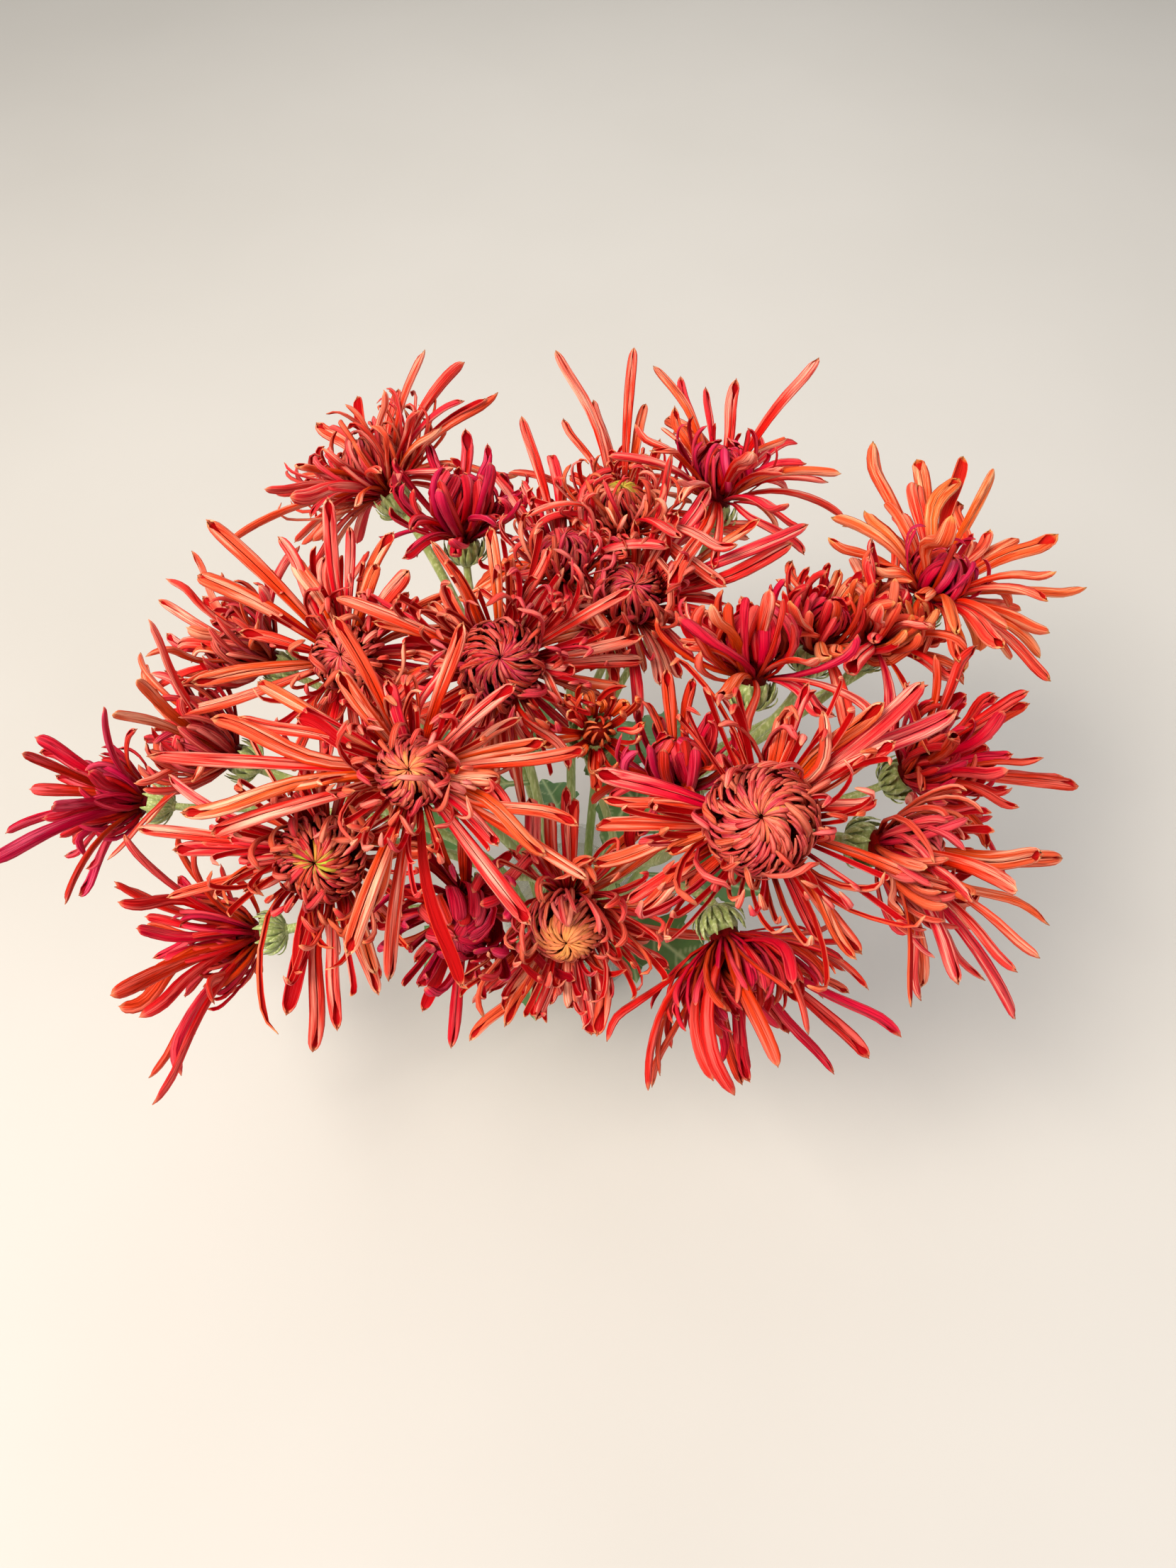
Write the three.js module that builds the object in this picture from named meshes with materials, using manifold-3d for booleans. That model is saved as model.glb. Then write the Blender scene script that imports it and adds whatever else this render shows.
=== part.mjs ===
// A low glass vase of cut spider chrysanthemums: the stems stand in water and fan out from the mouth,
// and each ends in a green cup that carries one flower head, a domed core ringed by long florets.
// Millimetres, +Z up. The origin is the middle of the vase's base, on the surface that it stands on.

import * as THREE from 'three';
import { mergeVertices } from 'three/addons/utils/BufferGeometryUtils.js';
import Module from 'manifold-3d';

const wasm = await Module();
wasm.setup();

const GAP = 0.3;

// Glass vase: a round tumbler with a thick base.
const VASE_HEIGHT = 68;
const BASE_RADIUS = 40;
const RIM_RADIUS = 42;
const HEEL_RADIUS = 4;
const WALL = 3;
const FLOOR = 9;
const WATER_LEVEL = 50;
const ROUND_SIDES = 32;

// Stems: green, near straight in the vase, then curving to their heads.
const STEM_RADIUS = 2.5;
const BRANCH_RADIUS = 2.0;
const STEM_SIDES = 5;
const STEM_STEPS = 8;
const BRANCH_STEPS = 4;
const CUP_SIDES = 7;
const FOOT_SPREAD = 0.72;
const FORK_SHARE = 0.55;
const STEM_LEAD = 0.42;
const STEM_ARRIVAL = 0.12;
const CUP_DEPTH = 12;
const CUP_RADIUS = 7.5;

// Florets: long quills, plain three-sided bars here.
const FLORET_RADIUS = 2.3;
const FLORET_SIDES = 3;
const FLORET_STEPS = 2;
const FLORET_RISE = 3;
const FLORET_RISE_PER_DEGREE = 0.12;
const FLORET_ROOT = 8;
const FLORET_ARCH = 18;
const LEAST_ARCH = 5;
const FLORET_BELLY = 0.42;
const FLORET_CLEARANCE = 0.7;
const CUT_BACK_SHARES = [1, 0.85, 0.7, 0.55];
const RING_COUNT = 8;
const RING_LIFT = 12;
const RING_SHARE = 0.85;
const RING_ROOM = 0.6;

// The core's outline, as shares of its radius: out from the axis, then up along it.
const CORE_SIDES = 9;
const CORE_OUTLINE = [[0.85, 0.4], [1, 0.9], [0.82, 1.4], [0, 1.78]];
const CORE_BONE = [0.75, 1.0];

// Leaves: a flat stalk, then a blade whose half width swells and narrows with three lobes a side.
const LEAF_THICKNESS = 0.9;
const LEAF_STEPS = 9;
const PETIOLE_WIDTH = 2.4;
const STALK_SHARE = 0.2;
const BLADE_SHARE = 0.42;
const BLADE_SKEW = 0.8;
const LOBES = 3;
const LOBE_DEPTH = 0.2;
const LEAF_DROOP = 0.25;

// Each head: x, y, z of the point where its florets meet; the azimuth (0 is +X, 90 is +Y) and elevation
// that it faces; the core's radius; and the long florets that give it its outline, each a clock angle
// about the head's axis, a lift towards that axis, and a length.
const HEADS = [
  { at: [-87, 111, 260], faces: [135, 35], core: 20, florets: [[155, 40, 70], [155, 25, 72], [155, 5, 70],
    [205, 40, 70], [220, 60, 60], [255, 50, 70], [280, 35, 70], [25, 20, 70], [0, 15, 85], [35, 10, 70]] },
  { at: [-49, 78, 261], faces: [95, 60], core: 18, florets: [[260, 60, 50], [240, 50, 45], [295, 40, 55],
    [50, 25, 40], [220, 20, 40]] },
  { at: [0, 44, 271], faces: [100, 80], core: 16, florets: [[275, 25, 85], [265, 30, 65], [285, 20, 55],
    [292, 12, 70], [240, 30, 45], [320, 10, 30]] },
  { at: [25, 68, 276], faces: [90, 75], core: 16, florets: [[290, 35, 95], [280, 25, 75], [265, 35, 95],
    [258, 30, 70], [290, 20, 40], [250, 15, 55], [110, 25, 70]] },
  { at: [69, 84, 278], faces: [75, 60], core: 16, florets: [[245, 40, 95], [240, 25, 65], [275, 50, 60],
    [310, 35, 85], [303, 35, 75], [293, 40, 65], [120, 10, 65], [80, 15, 65]] },
  { at: [28, 32, 266], faces: [-80, 70], core: 17, florets: [[65, 20, 65], [57, 35, 45], [45, 20, 60],
    [20, 15, 65], [5, 10, 75], [13, 15, 85], [80, 20, 35], [340, 0, 40], [135, 20, 30]] },
  { at: [-95, 4, 262], faces: [-85, 55], core: 18, florets: [[130, 10, 80], [145, 5, 75], [115, 25, 60],
    [90, 25, 70], [80, 30, 60], [65, 20, 60], [165, 5, 45], [185, 0, 65], [195, -5, 80], [305, 0, 30]] },
  { at: [-27, -9, 272], faces: [-85, 58], core: 23, florets: [[90, 25, 60], [115, 25, 60], [65, 20, 55],
    [25, 20, 65], [0, -5, 60], [350, -5, 50], [150, 5, 65], [155, 20, 75], [275, 5, 60], [260, 5, 55]] },
  { at: [-137, 23, 237], faces: [170, 35], core: 16, florets: [[240, 35, 60], [248, 30, 55], [215, 35, 60],
    [235, 40, 80], [208, 40, 75]] },
  { at: [-55, -81, 297], faces: [-85, 60], core: 17, florets: [[65, 25, 60], [110, 25, 65], [120, 35, 50],
    [155, 5, 65], [165, 5, 75], [180, 5, 50], [5, 10, 65], [335, 15, 65], [325, 10, 75], [305, 10, 70],
    [250, 15, 70], [260, -5, 75], [275, -5, 80], [35, 30, 55], [145, 0, 70]] },
  { at: [-152, -17, 217], faces: [170, 30], core: 17, florets: [[60, 40, 85], [72, 40, 80], [95, 40, 85],
    [330, 25, 70], [300, 25, 55], [15, 40, 50]] },
  { at: [-200, -22, 188], faces: [175, 10], core: 12, florets: [[70, 30, 75], [260, 55, 65], [35, 25, 90],
    [280, 45, 60], [230, 55, 65], [100, 15, 60]] },
  { at: [-97, -82, 244], faces: [-85, 50], core: 23, florets: [[165, 5, 50], [165, 20, 40], [180, 30, 35],
    [200, 25, 35], [260, 0, 85], [270, 5, 70], [175, 0, 60], [310, 15, 40], [253, 10, 65], [285, 0, 60]] },
  { at: [-142, -81, 166], faces: [190, -5], core: 15, florets: [[110, 30, 80], [105, 45, 70], [100, 10, 65],
    [220, 60, 70], [50, 35, 80], [20, 20, 95], [42, 25, 75]] },
  { at: [-40, -96, 225], faces: [-95, 35], core: 18, florets: [[250, 10, 50], [210, 15, 35], [240, 25, 40],
    [265, 0, 65], [40, 0, 35]] },
  { at: [1, -96, 227], faces: [-90, 25], core: 20, florets: [[240, 10, 75], [240, 20, 55], [255, 25, 50],
    [275, 35, 45], [280, 20, 60], [330, 10, 50], [340, -10, 80], [230, 5, 65], [335, 10, 40],
    [315, 20, 40]] },
  { at: [12, -37, 263], faces: [-60, 60], core: 9, florets: [[25, 60, 25], [240, 15, 25], [140, 45, 25]] },
  { at: [47, -61, 254], faces: [100, 60], core: 14, florets: [[280, 45, 45], [265, 55, 50], [240, 45, 50],
    [230, 30, 40], [275, 30, 40]] },
  { at: [75, -91, 279], faces: [-105, 60], core: 27, florets: [[175, 15, 65], [182, 15, 60], [195, 0, 65],
    [205, 0, 65], [225, 10, 55], [235, 25, 40], [55, 20, 80], [45, 5, 80], [60, 25, 65], [45, 25, 60],
    [90, 30, 45], [80, 20, 55], [25, 15, 45], [310, -5, 45], [320, -5, 60], [355, 0, 75]] },
  { at: [76, -29, 287], faces: [85, 55], core: 17, florets: [[300, 10, 60], [140, 0, 60], [110, 20, 60],
    [65, 35, 60], [90, 60, 45], [75, 5, 60], [300, 30, 45]] },
  { at: [109, 8, 263], faces: [60, 60], core: 15, florets: [[315, 30, 45], [285, 45, 40], [265, 40, 40],
    [80, 25, 50], [125, -10, 60]] },
  { at: [136, 20, 253], faces: [40, 60], core: 15, florets: [[105, 30, 55], [230, 0, 55], [205, 5, 40],
    [110, 5, 55], [135, -10, 65], [155, -10, 65]] },
  { at: [166, 46, 253], faces: [45, 60], core: 15, florets: [[340, 25, 85], [305, 35, 90], [290, 35, 90],
    [335, 30, 50], [350, 10, 60], [50, 10, 60], [265, 25, 70], [250, 30, 75], [225, 20, 75], [220, 5, 60],
    [145, 10, 60], [320, 30, 85]] },
  { at: [121, -91, 264], faces: [-25, 20], core: 18, florets: [[255, 35, 95], [310, 40, 90], [140, 45, 70],
    [260, 25, 75], [250, 15, 70], [280, 25, 70], [315, -15, 70], [330, -5, 70]] },
  { at: [151, -32, 225], faces: [0, 45], core: 16, florets: [[280, 25, 85], [275, 30, 90], [150, 50, 65],
    [330, 20, 60], [120, 45, 65], [270, -10, 45]] },
  { at: [65, -109, 224], faces: [-70, -15], core: 18, florets: [[225, 35, 75], [250, 50, 65], [270, 50, 70],
    [305, 45, 90], [325, 45, 90], [345, 45, 85], [350, 20, 60], [335, 10, 60], [205, 15, 65],
    [335, 35, 65]] },
];

// Each stem: the x and y where it passes the vase's mouth, the head at its end, and, on a forked stem,
// the head that its side branch carries.
const STEMS = [
  { mouth: [-16, 24], ends: [1, 2] },
  { mouth: [0, 11], ends: [3, 6] },
  { mouth: [10, 27], ends: [4, 5] },
  { mouth: [-24, 8], ends: [7, 9] },
  { mouth: [-9, -1], ends: [8] },
  { mouth: [-12, -18], ends: [10] },
  { mouth: [-31, -6], ends: [11, 12] },
  { mouth: [-26, -15], ends: [13] },
  { mouth: [-20, -27], ends: [14] },
  { mouth: [-3, -30], ends: [16, 15] },
  { mouth: [6, -9], ends: [18, 17] },
  { mouth: [15, -19], ends: [19] },
  { mouth: [17, -3], ends: [20] },
  { mouth: [22, 9], ends: [21, 22] },
  { mouth: [24, 21], ends: [23] },
  { mouth: [30, -10], ends: [24, 25] },
  { mouth: [10, -31], ends: [26] },
];

// Each leaf: its stem, the height where its stalk leaves it, the azimuth it points to, the angle it
// rises at, its length and its width.
const LEAVES = [
  { stem: 17, height: 130, azimuth: -40, rise: 10, length: 62, width: 34 },
  { stem: 16, height: 105, azimuth: -5, rise: 5, length: 66, width: 32 },
  { stem: 11, height: 120, azimuth: 62, rise: 35, length: 58, width: 24 },
  { stem: 2, height: 96, azimuth: 110, rise: 0, length: 50, width: 26 },
  { stem: 13, height: 170, azimuth: 130, rise: 25, length: 50, width: 24 },
  { stem: 5, height: 165, azimuth: 190, rise: 10, length: 56, width: 30 },
  { stem: 4, height: 140, azimuth: 120, rise: 20, length: 62, width: 32 },
  { stem: 9, height: 95, azimuth: -80, rise: -5, length: 54, width: 28 },
  { stem: 8, height: 110, azimuth: 230, rise: 0, length: 60, width: 32 },
  { stem: 1, height: 120, azimuth: 90, rise: 15, length: 66, width: 34 },
  { stem: 3, height: 110, azimuth: 60, rise: 10, length: 64, width: 32 },
  { stem: 15, height: 120, azimuth: 75, rise: 10, length: 66, width: 34 },
  { stem: 14, height: 110, azimuth: 0, rise: 15, length: 62, width: 30 },
  { stem: 7, height: 110, azimuth: 150, rise: 5, length: 60, width: 32 },
  { stem: 12, height: 120, azimuth: -80, rise: 5, length: 52, width: 28 },
];

const UP = new THREE.Vector3(0, 0, 1);
const round = (degrees) => THREE.MathUtils.degToRad(degrees);
const twoDigits = (number) => String(number).padStart(2, '0');

/** Unit vector of an azimuth and an elevation in degrees. */
function direction([azimuth, elevation]) {
  const level = Math.cos(round(elevation));
  return new THREE.Vector3(
    level * Math.cos(round(azimuth)), level * Math.sin(round(azimuth)), Math.sin(round(elevation)));
}

/** A head's own axes: k along the way it faces, a level across it, and b across both. */
function headAxes(head) {
  const k = direction(head.faces);
  const a = new THREE.Vector3().crossVectors(UP, k).normalize();
  const b = new THREE.Vector3().crossVectors(k, a);
  return { a, b, k };
}

/** Point or direction in a head's frame from a clock angle, a lift and a length. */
function headVector({ a, b, k }, clock, lift, length) {
  const out = length * Math.cos(round(lift));
  return new THREE.Vector3()
    .addScaledVector(a, out * Math.cos(round(clock)))
    .addScaledVector(b, out * Math.sin(round(clock)))
    .addScaledVector(k, length * Math.sin(round(lift)));
}

/** A solid from a closed geometry. */
function asSolid(geometry) {
  const bare = geometry.clone();
  bare.deleteAttribute('normal');
  bare.deleteAttribute('uv');
  const merged = mergeVertices(bare, 1e-4);
  return new wasm.Manifold(new wasm.Mesh({
    numProp: 3,
    vertProperties: new Float32Array(merged.attributes.position.array),
    triVerts: new Uint32Array(merged.index.array),
  }));
}

/** A geometry from a solid. */
function asGeometry(solid) {
  const mesh = solid.getMesh();
  const geometry = new THREE.BufferGeometry();
  geometry.setAttribute('position', new THREE.BufferAttribute(new Float32Array(mesh.vertProperties), 3));
  geometry.setIndex(new THREE.BufferAttribute(new Uint32Array(mesh.triVerts), 1));
  const flat = geometry.toNonIndexed();
  flat.computeVertexNormals();
  return flat;
}

/** One solid out of several geometries that run into each other. */
function join(geometries) {
  return geometries.map(asSolid).reduce((whole, next) => whole.add(next));
}

/** A bar of even section along a curve. */
function bar(curve, radius, sides, steps) {
  const section = new THREE.Shape();
  for (let i = 0; i < sides; i += 1) {
    const turn = (2 * Math.PI * i) / sides;
    const [x, y] = [radius * Math.cos(turn), radius * Math.sin(turn)];
    if (i === 0) section.moveTo(x, y);
    else section.lineTo(x, y);
  }
  section.closePath();
  return new THREE.ExtrudeGeometry(section, { steps, extrudePath: curve, bevelEnabled: false });
}

/** A turned shape about a head's axis: points are [radius, height along the axis]. */
function turned(points, segments, origin, { a, b, k }) {
  const profile = points.map(([radius, height]) => new THREE.Vector2(radius, height));
  const geometry = new THREE.LatheGeometry(profile, segments);
  const place = new THREE.Matrix4().makeBasis(a, k, b.clone().negate()).setPosition(origin);
  return geometry.applyMatrix4(place);
}

// What is already in place, as straight bones with a radius, so that florets can be kept clear of it.
const bones = [];

/** Adds a curve to what is in place. */
function keepClear(points, radius, owner) {
  for (let i = 1; i < points.length; i += 1) {
    bones.push({ from: points[i - 1], to: points[i], radius, owner });
  }
}

/** Shortest distance between the straight stretches p to q and r to s. */
function stretchGap(p, q, r, s) {
  const [d1, d2, w] = [q.clone().sub(p), s.clone().sub(r), p.clone().sub(r)];
  const [aa, ee, f] = [d1.dot(d1), d2.dot(d2), d2.dot(w)];
  const [c, bb] = [d1.dot(w), d1.dot(d2)];
  const denominator = aa * ee - bb * bb;
  let t1 = denominator > 1e-9 ? THREE.MathUtils.clamp((bb * f - c * ee) / denominator, 0, 1) : 0;
  const t2 = THREE.MathUtils.clamp((bb * t1 + f) / ee, 0, 1);
  t1 = THREE.MathUtils.clamp((bb * t2 - c) / aa, 0, 1);
  return p.clone().addScaledVector(d1, t1).distanceTo(r.clone().addScaledVector(d2, t2));
}

/** Whether a floret's curve is clear of everything that isn't its own head. */
function isClear(points, radius, owner) {
  for (let i = 1; i < points.length; i += 1) {
    for (const bone of bones) {
      const room = radius + bone.radius + FLORET_CLEARANCE;
      const gap = stretchGap(points[i - 1], points[i], bone.from, bone.to);
      if (bone.owner !== owner && gap < room) return false;
    }
  }
  return true;
}

// Vase and water

/** The glass: outside up to the rim, inside down to the floor, closed on the axis. */
function vaseGeometry() {
  const profile = new THREE.Path();
  profile.moveTo(0, 0);
  profile.lineTo(BASE_RADIUS - HEEL_RADIUS, 0);
  profile.quadraticCurveTo(BASE_RADIUS, 0, BASE_RADIUS, HEEL_RADIUS);
  profile.lineTo(RIM_RADIUS, VASE_HEIGHT - 1);
  profile.lineTo(RIM_RADIUS - 1, VASE_HEIGHT);
  profile.lineTo(RIM_RADIUS - WALL + 1, VASE_HEIGHT);
  profile.lineTo(RIM_RADIUS - WALL, VASE_HEIGHT - 1);
  profile.lineTo(BASE_RADIUS - WALL, FLOOR + HEEL_RADIUS);
  profile.quadraticCurveTo(BASE_RADIUS - WALL, FLOOR, BASE_RADIUS - WALL - HEEL_RADIUS, FLOOR);
  profile.lineTo(0, FLOOR);
  return new THREE.LatheGeometry(profile.getPoints(3), ROUND_SIDES).rotateX(Math.PI / 2);
}

/** Inside radius of the vase at a height. */
function insideRadius(height) {
  const share = (height - FLOOR - HEEL_RADIUS) / (VASE_HEIGHT - 1 - FLOOR - HEEL_RADIUS);
  return BASE_RADIUS - WALL + share * (RIM_RADIUS - BASE_RADIUS);
}

/** Where a stem stands on the vase's floor and where it passes the mouth. */
function footAndMouth(stem) {
  const mouth = new THREE.Vector3(stem.mouth[0], stem.mouth[1], VASE_HEIGHT);
  const foot = new THREE.Vector3(stem.mouth[0] * FOOT_SPREAD, stem.mouth[1] * FOOT_SPREAD, FLOOR + 2 * GAP);
  return { foot, mouth };
}

/** The water round the stems. */
function waterSolid() {
  const heel = HEEL_RADIUS + 1;
  const top = insideRadius(WATER_LEVEL) - GAP;
  const side = insideRadius(FLOOR + heel) - GAP;
  const profile = [[0, FLOOR + GAP], [side - heel, FLOOR + GAP], [side - 1, FLOOR + 0.4 * heel],
    [side, FLOOR + heel], [top, WATER_LEVEL], [0, WATER_LEVEL]].map(([x, y]) => new THREE.Vector2(x, y));
  let water = asSolid(new THREE.LatheGeometry(profile, ROUND_SIDES).rotateX(Math.PI / 2));
  for (const stem of STEMS) {
    const { foot, mouth } = footAndMouth(stem);
    const along = mouth.clone().sub(foot).normalize();
    const below = foot.clone().addScaledVector(along, -5);
    const sleeve = bar(new THREE.LineCurve3(below, mouth), STEM_RADIUS + 2 * GAP, STEM_SIDES, 1);
    water = water.subtract(asSolid(sleeve));
  }
  return water;
}

// Stems

/** The point under a head's cup where its stem ends. */
function neckOf(head) {
  return new THREE.Vector3(...head.at).addScaledVector(direction(head.faces), -CUP_DEPTH + 1);
}

/** A smooth curve from a point and its heading to a head's neck. */
function reach(start, heading, head) {
  const end = neckOf(head);
  const span = start.distanceTo(end);
  const facing = direction(head.faces);
  const lift = start.clone().addScaledVector(heading, STEM_LEAD * span);
  const arrive = end.clone().addScaledVector(facing, -STEM_ARRIVAL * (1 + facing.z) * span);
  return new THREE.CubicBezierCurve3(start, lift, arrive, end);
}

/** The main curve of a stem, from its foot to the neck of the first head that it carries. */
function stemCurve(stem) {
  const { foot, mouth } = footAndMouth(stem);
  const curve = new THREE.CurvePath();
  curve.add(new THREE.LineCurve3(foot, mouth));
  curve.add(reach(mouth, mouth.clone().sub(foot).normalize(), HEADS[stem.ends[0] - 1]));
  return curve;
}

/** The curve of a side branch, which leaves the main one a little above half way. */
function branchCurve(main, head) {
  return reach(main.getPointAt(FORK_SHARE), main.getTangentAt(FORK_SHARE), head);
}

/** The green cup of bracts under a head. */
function cupGeometry(head) {
  const profile = [[0, -CUP_DEPTH], [STEM_RADIUS, -CUP_DEPTH], [0.85 * CUP_RADIUS, -0.5 * CUP_DEPTH],
    [CUP_RADIUS, -GAP], [0, -GAP]];
  return turned(profile, CUP_SIDES, new THREE.Vector3(...head.at), headAxes(head));
}

/** A stem, forked where it carries two heads, with its cups. */
function stemSolid(stem, name) {
  const main = stemCurve(stem);
  const pieces = [bar(main, STEM_RADIUS, STEM_SIDES, STEM_STEPS)];
  keepClear(main.getSpacedPoints(STEM_STEPS), STEM_RADIUS, name);
  if (stem.ends.length > 1) {
    const branch = branchCurve(main, HEADS[stem.ends[1] - 1]);
    pieces.push(bar(branch, BRANCH_RADIUS, STEM_SIDES, BRANCH_STEPS));
    keepClear(branch.getSpacedPoints(BRANCH_STEPS), BRANCH_RADIUS, name);
  }
  stem.ends.forEach((end) => pieces.push(cupGeometry(HEADS[end - 1])));
  return join(pieces);
}

// Flower heads

/** The domed core of packed short florets. */
function coreGeometry(head) {
  const outline = CORE_OUTLINE.map(([out, up]) => [out * head.core, up * head.core]);
  const profile = [[0, 0], [CUP_RADIUS, 0], ...outline];
  return turned(profile, CORE_SIDES, new THREE.Vector3(...head.at), headAxes(head));
}

/** The curve of a long floret: out from the core, arched towards the head's axis, to its tip. */
function floretCurve(head, [clock, lift, length]) {
  const axes = headAxes(head);
  const origin = new THREE.Vector3(...head.at);
  const rise = FLORET_RISE + FLORET_RISE_PER_DEGREE * Math.max(lift, 0);
  const start = origin.clone().addScaledVector(axes.k, rise).add(headVector(axes, clock, 0, FLORET_ROOT));
  const archLift = Math.max(lift + FLORET_ARCH, LEAST_ARCH);
  const middle = start.clone().add(headVector(axes, clock, archLift, FLORET_BELLY * length));
  const tip = origin.clone().add(headVector(axes, clock, lift, length));
  return new THREE.QuadraticBezierCurve3(start, middle, tip);
}

/** The even ring of florets that fills the clock angles where none is listed. */
function ringFlorets(head) {
  const usual = head.florets.reduce((sum, floret) => sum + floret[2], 0) / head.florets.length;
  const step = 360 / RING_COUNT;
  const ring = [];
  for (let clock = step / 2; clock < 360; clock += step) {
    const apart = head.florets.map((floret) => Math.abs(((floret[0] - clock + 540) % 360) - 180));
    if (Math.min(...apart) > step * RING_ROOM) ring.push([clock, RING_LIFT, RING_SHARE * usual]);
  }
  return ring;
}

/** The florets of a head that have room, cut back where they would meet a neighbour. */
function roomyFlorets(head, florets, name) {
  const kept = [];
  for (const [clock, lift, length] of florets) {
    for (const share of CUT_BACK_SHARES) {
      const curve = floretCurve(head, [clock, lift, length * share]);
      const points = curve.getPoints(FLORET_STEPS * 2);
      if (isClear(points, FLORET_RADIUS, name)) {
        keepClear(points, FLORET_RADIUS, name);
        kept.push(curve);
        break;
      }
    }
  }
  return kept;
}

// Leaves

/** A lobed leaf blade with its stalk, flat along +X, then drooped along its length. */
function leafGeometry(length, width) {
  const stalk = STALK_SHARE * length;
  const blade = length - stalk;
  const side = [];
  for (let i = 1; i < LEAF_STEPS; i += 1) {
    const t = i / LEAF_STEPS;
    const lobes = 1 + LOBE_DEPTH * Math.cos(2 * Math.PI * LOBES * t);
    const half = BLADE_SHARE * width * Math.sin(Math.PI * t ** BLADE_SKEW) * lobes;
    side.push([stalk + blade * t, half + PETIOLE_WIDTH / 2]);
  }
  const outline = new THREE.Shape();
  outline.moveTo(0, -PETIOLE_WIDTH / 2);
  outline.lineTo(stalk, -PETIOLE_WIDTH / 2);
  side.forEach(([x, y]) => outline.lineTo(x, -y));
  outline.lineTo(length, 0);
  side.reverse().forEach(([x, y]) => outline.lineTo(x, y));
  outline.lineTo(stalk, PETIOLE_WIDTH / 2);
  outline.lineTo(0, PETIOLE_WIDTH / 2);
  outline.closePath();
  const geometry = new THREE.ExtrudeGeometry(outline, { depth: LEAF_THICKNESS, bevelEnabled: false });
  const position = geometry.attributes.position;
  for (let i = 0; i < position.count; i += 1) {
    position.setZ(i, position.getZ(i) - LEAF_DROOP * length * (position.getX(i) / length) ** 2);
  }
  return geometry;
}

/** The point where a curve passes a height, and its heading there. */
function atHeight(curve, height) {
  const samples = 200;
  const i = curve.getSpacedPoints(samples).findIndex((point) => point.z >= height);
  return { seat: curve.getPointAt(i / samples), along: curve.getTangentAt(i / samples) };
}

/** A leaf set against its stem. */
function placedLeaf({ stem, height, azimuth, rise, length, width }) {
  const { seat, along } = atHeight(stemCurve(STEMS[stem - 1]), height);
  const out = direction([azimuth, 0]);
  out.addScaledVector(along, -out.dot(along)).normalize();
  const turn = new THREE.Matrix4().makeRotationZ(round(azimuth));
  const tilt = new THREE.Matrix4().makeRotationY(-round(rise));
  const place = seat.clone().addScaledVector(out, STEM_RADIUS + 2 * GAP);
  const leaf = leafGeometry(length, width).applyMatrix4(tilt).applyMatrix4(turn);
  return leaf.translate(place.x, place.y, place.z);
}

// The whole

const glass = new THREE.MeshStandardMaterial({
  color: 0xdfe8e4, roughness: 0.05, metalness: 0, transparent: true, opacity: 0.35 });
const clearWater = new THREE.MeshStandardMaterial({
  color: 0xc9cf9a, roughness: 0.05, metalness: 0, transparent: true, opacity: 0.5 });
const green = new THREE.MeshStandardMaterial({ color: 0x8fa05a, roughness: 0.6, metalness: 0 });
const leafGreen = new THREE.MeshStandardMaterial({ color: 0x4f7a45, roughness: 0.65, metalness: 0 });
const coral = new THREE.MeshStandardMaterial({ color: 0xc8323a, roughness: 0.55, metalness: 0 });

const bouquet = new THREE.Group();

/** Adds one named piece. */
function add(name, geometry, material) {
  const mesh = new THREE.Mesh(geometry, material);
  mesh.name = name;
  bouquet.add(mesh);
}

add('vase', vaseGeometry(), glass);
add('water', asGeometry(waterSolid()), clearWater);
STEMS.forEach((stem, i) => {
  const name = `stem_${twoDigits(i + 1)}`;
  add(name, asGeometry(stemSolid(stem, name)), green);
});

const headNames = HEADS.map((head, i) => `flower_head_${twoDigits(i + 1)}`);
HEADS.forEach((head, i) => {
  const { k } = headAxes(head);
  const origin = new THREE.Vector3(...head.at);
  const inner = CORE_BONE.map((along) => origin.clone().addScaledVector(k, along * head.core));
  keepClear(inner, head.core, headNames[i]);
});
const outlines = HEADS.map((head, i) => roomyFlorets(head, head.florets, headNames[i]));
const rings = HEADS.map((head, i) => roomyFlorets(head, ringFlorets(head), headNames[i]));
HEADS.forEach((head, i) => {
  const curves = [...outlines[i], ...rings[i]];
  const florets = curves.map((curve) => bar(curve, FLORET_RADIUS, FLORET_SIDES, FLORET_STEPS));
  add(headNames[i], asGeometry(join([coreGeometry(head), ...florets])), coral);
});

LEAVES.forEach((leaf, i) => add(`leaf_${twoDigits(i + 1)}`, placedLeaf(leaf), leafGreen));

export default bouquet;
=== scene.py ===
import math

import bpy
import numpy as np
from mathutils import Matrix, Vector


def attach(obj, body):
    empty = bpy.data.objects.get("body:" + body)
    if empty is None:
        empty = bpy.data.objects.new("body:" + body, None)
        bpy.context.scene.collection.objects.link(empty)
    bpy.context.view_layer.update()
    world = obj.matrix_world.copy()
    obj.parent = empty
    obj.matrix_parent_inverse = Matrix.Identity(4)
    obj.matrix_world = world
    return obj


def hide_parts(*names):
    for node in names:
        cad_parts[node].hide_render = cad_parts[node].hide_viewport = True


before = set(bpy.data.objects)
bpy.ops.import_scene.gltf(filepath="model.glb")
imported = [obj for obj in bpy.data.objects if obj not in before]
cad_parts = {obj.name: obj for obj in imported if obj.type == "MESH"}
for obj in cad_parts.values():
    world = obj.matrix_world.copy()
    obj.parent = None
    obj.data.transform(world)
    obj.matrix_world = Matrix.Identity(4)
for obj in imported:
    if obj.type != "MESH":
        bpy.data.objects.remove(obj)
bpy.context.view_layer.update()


# Camera, floor and light
# The view is from a standing eye in front of the vase, looking steeply down on the bouquet. The floor is a
# pale matt board, and the light is soft daylight from the upper left with a weaker fill from the right.

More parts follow.
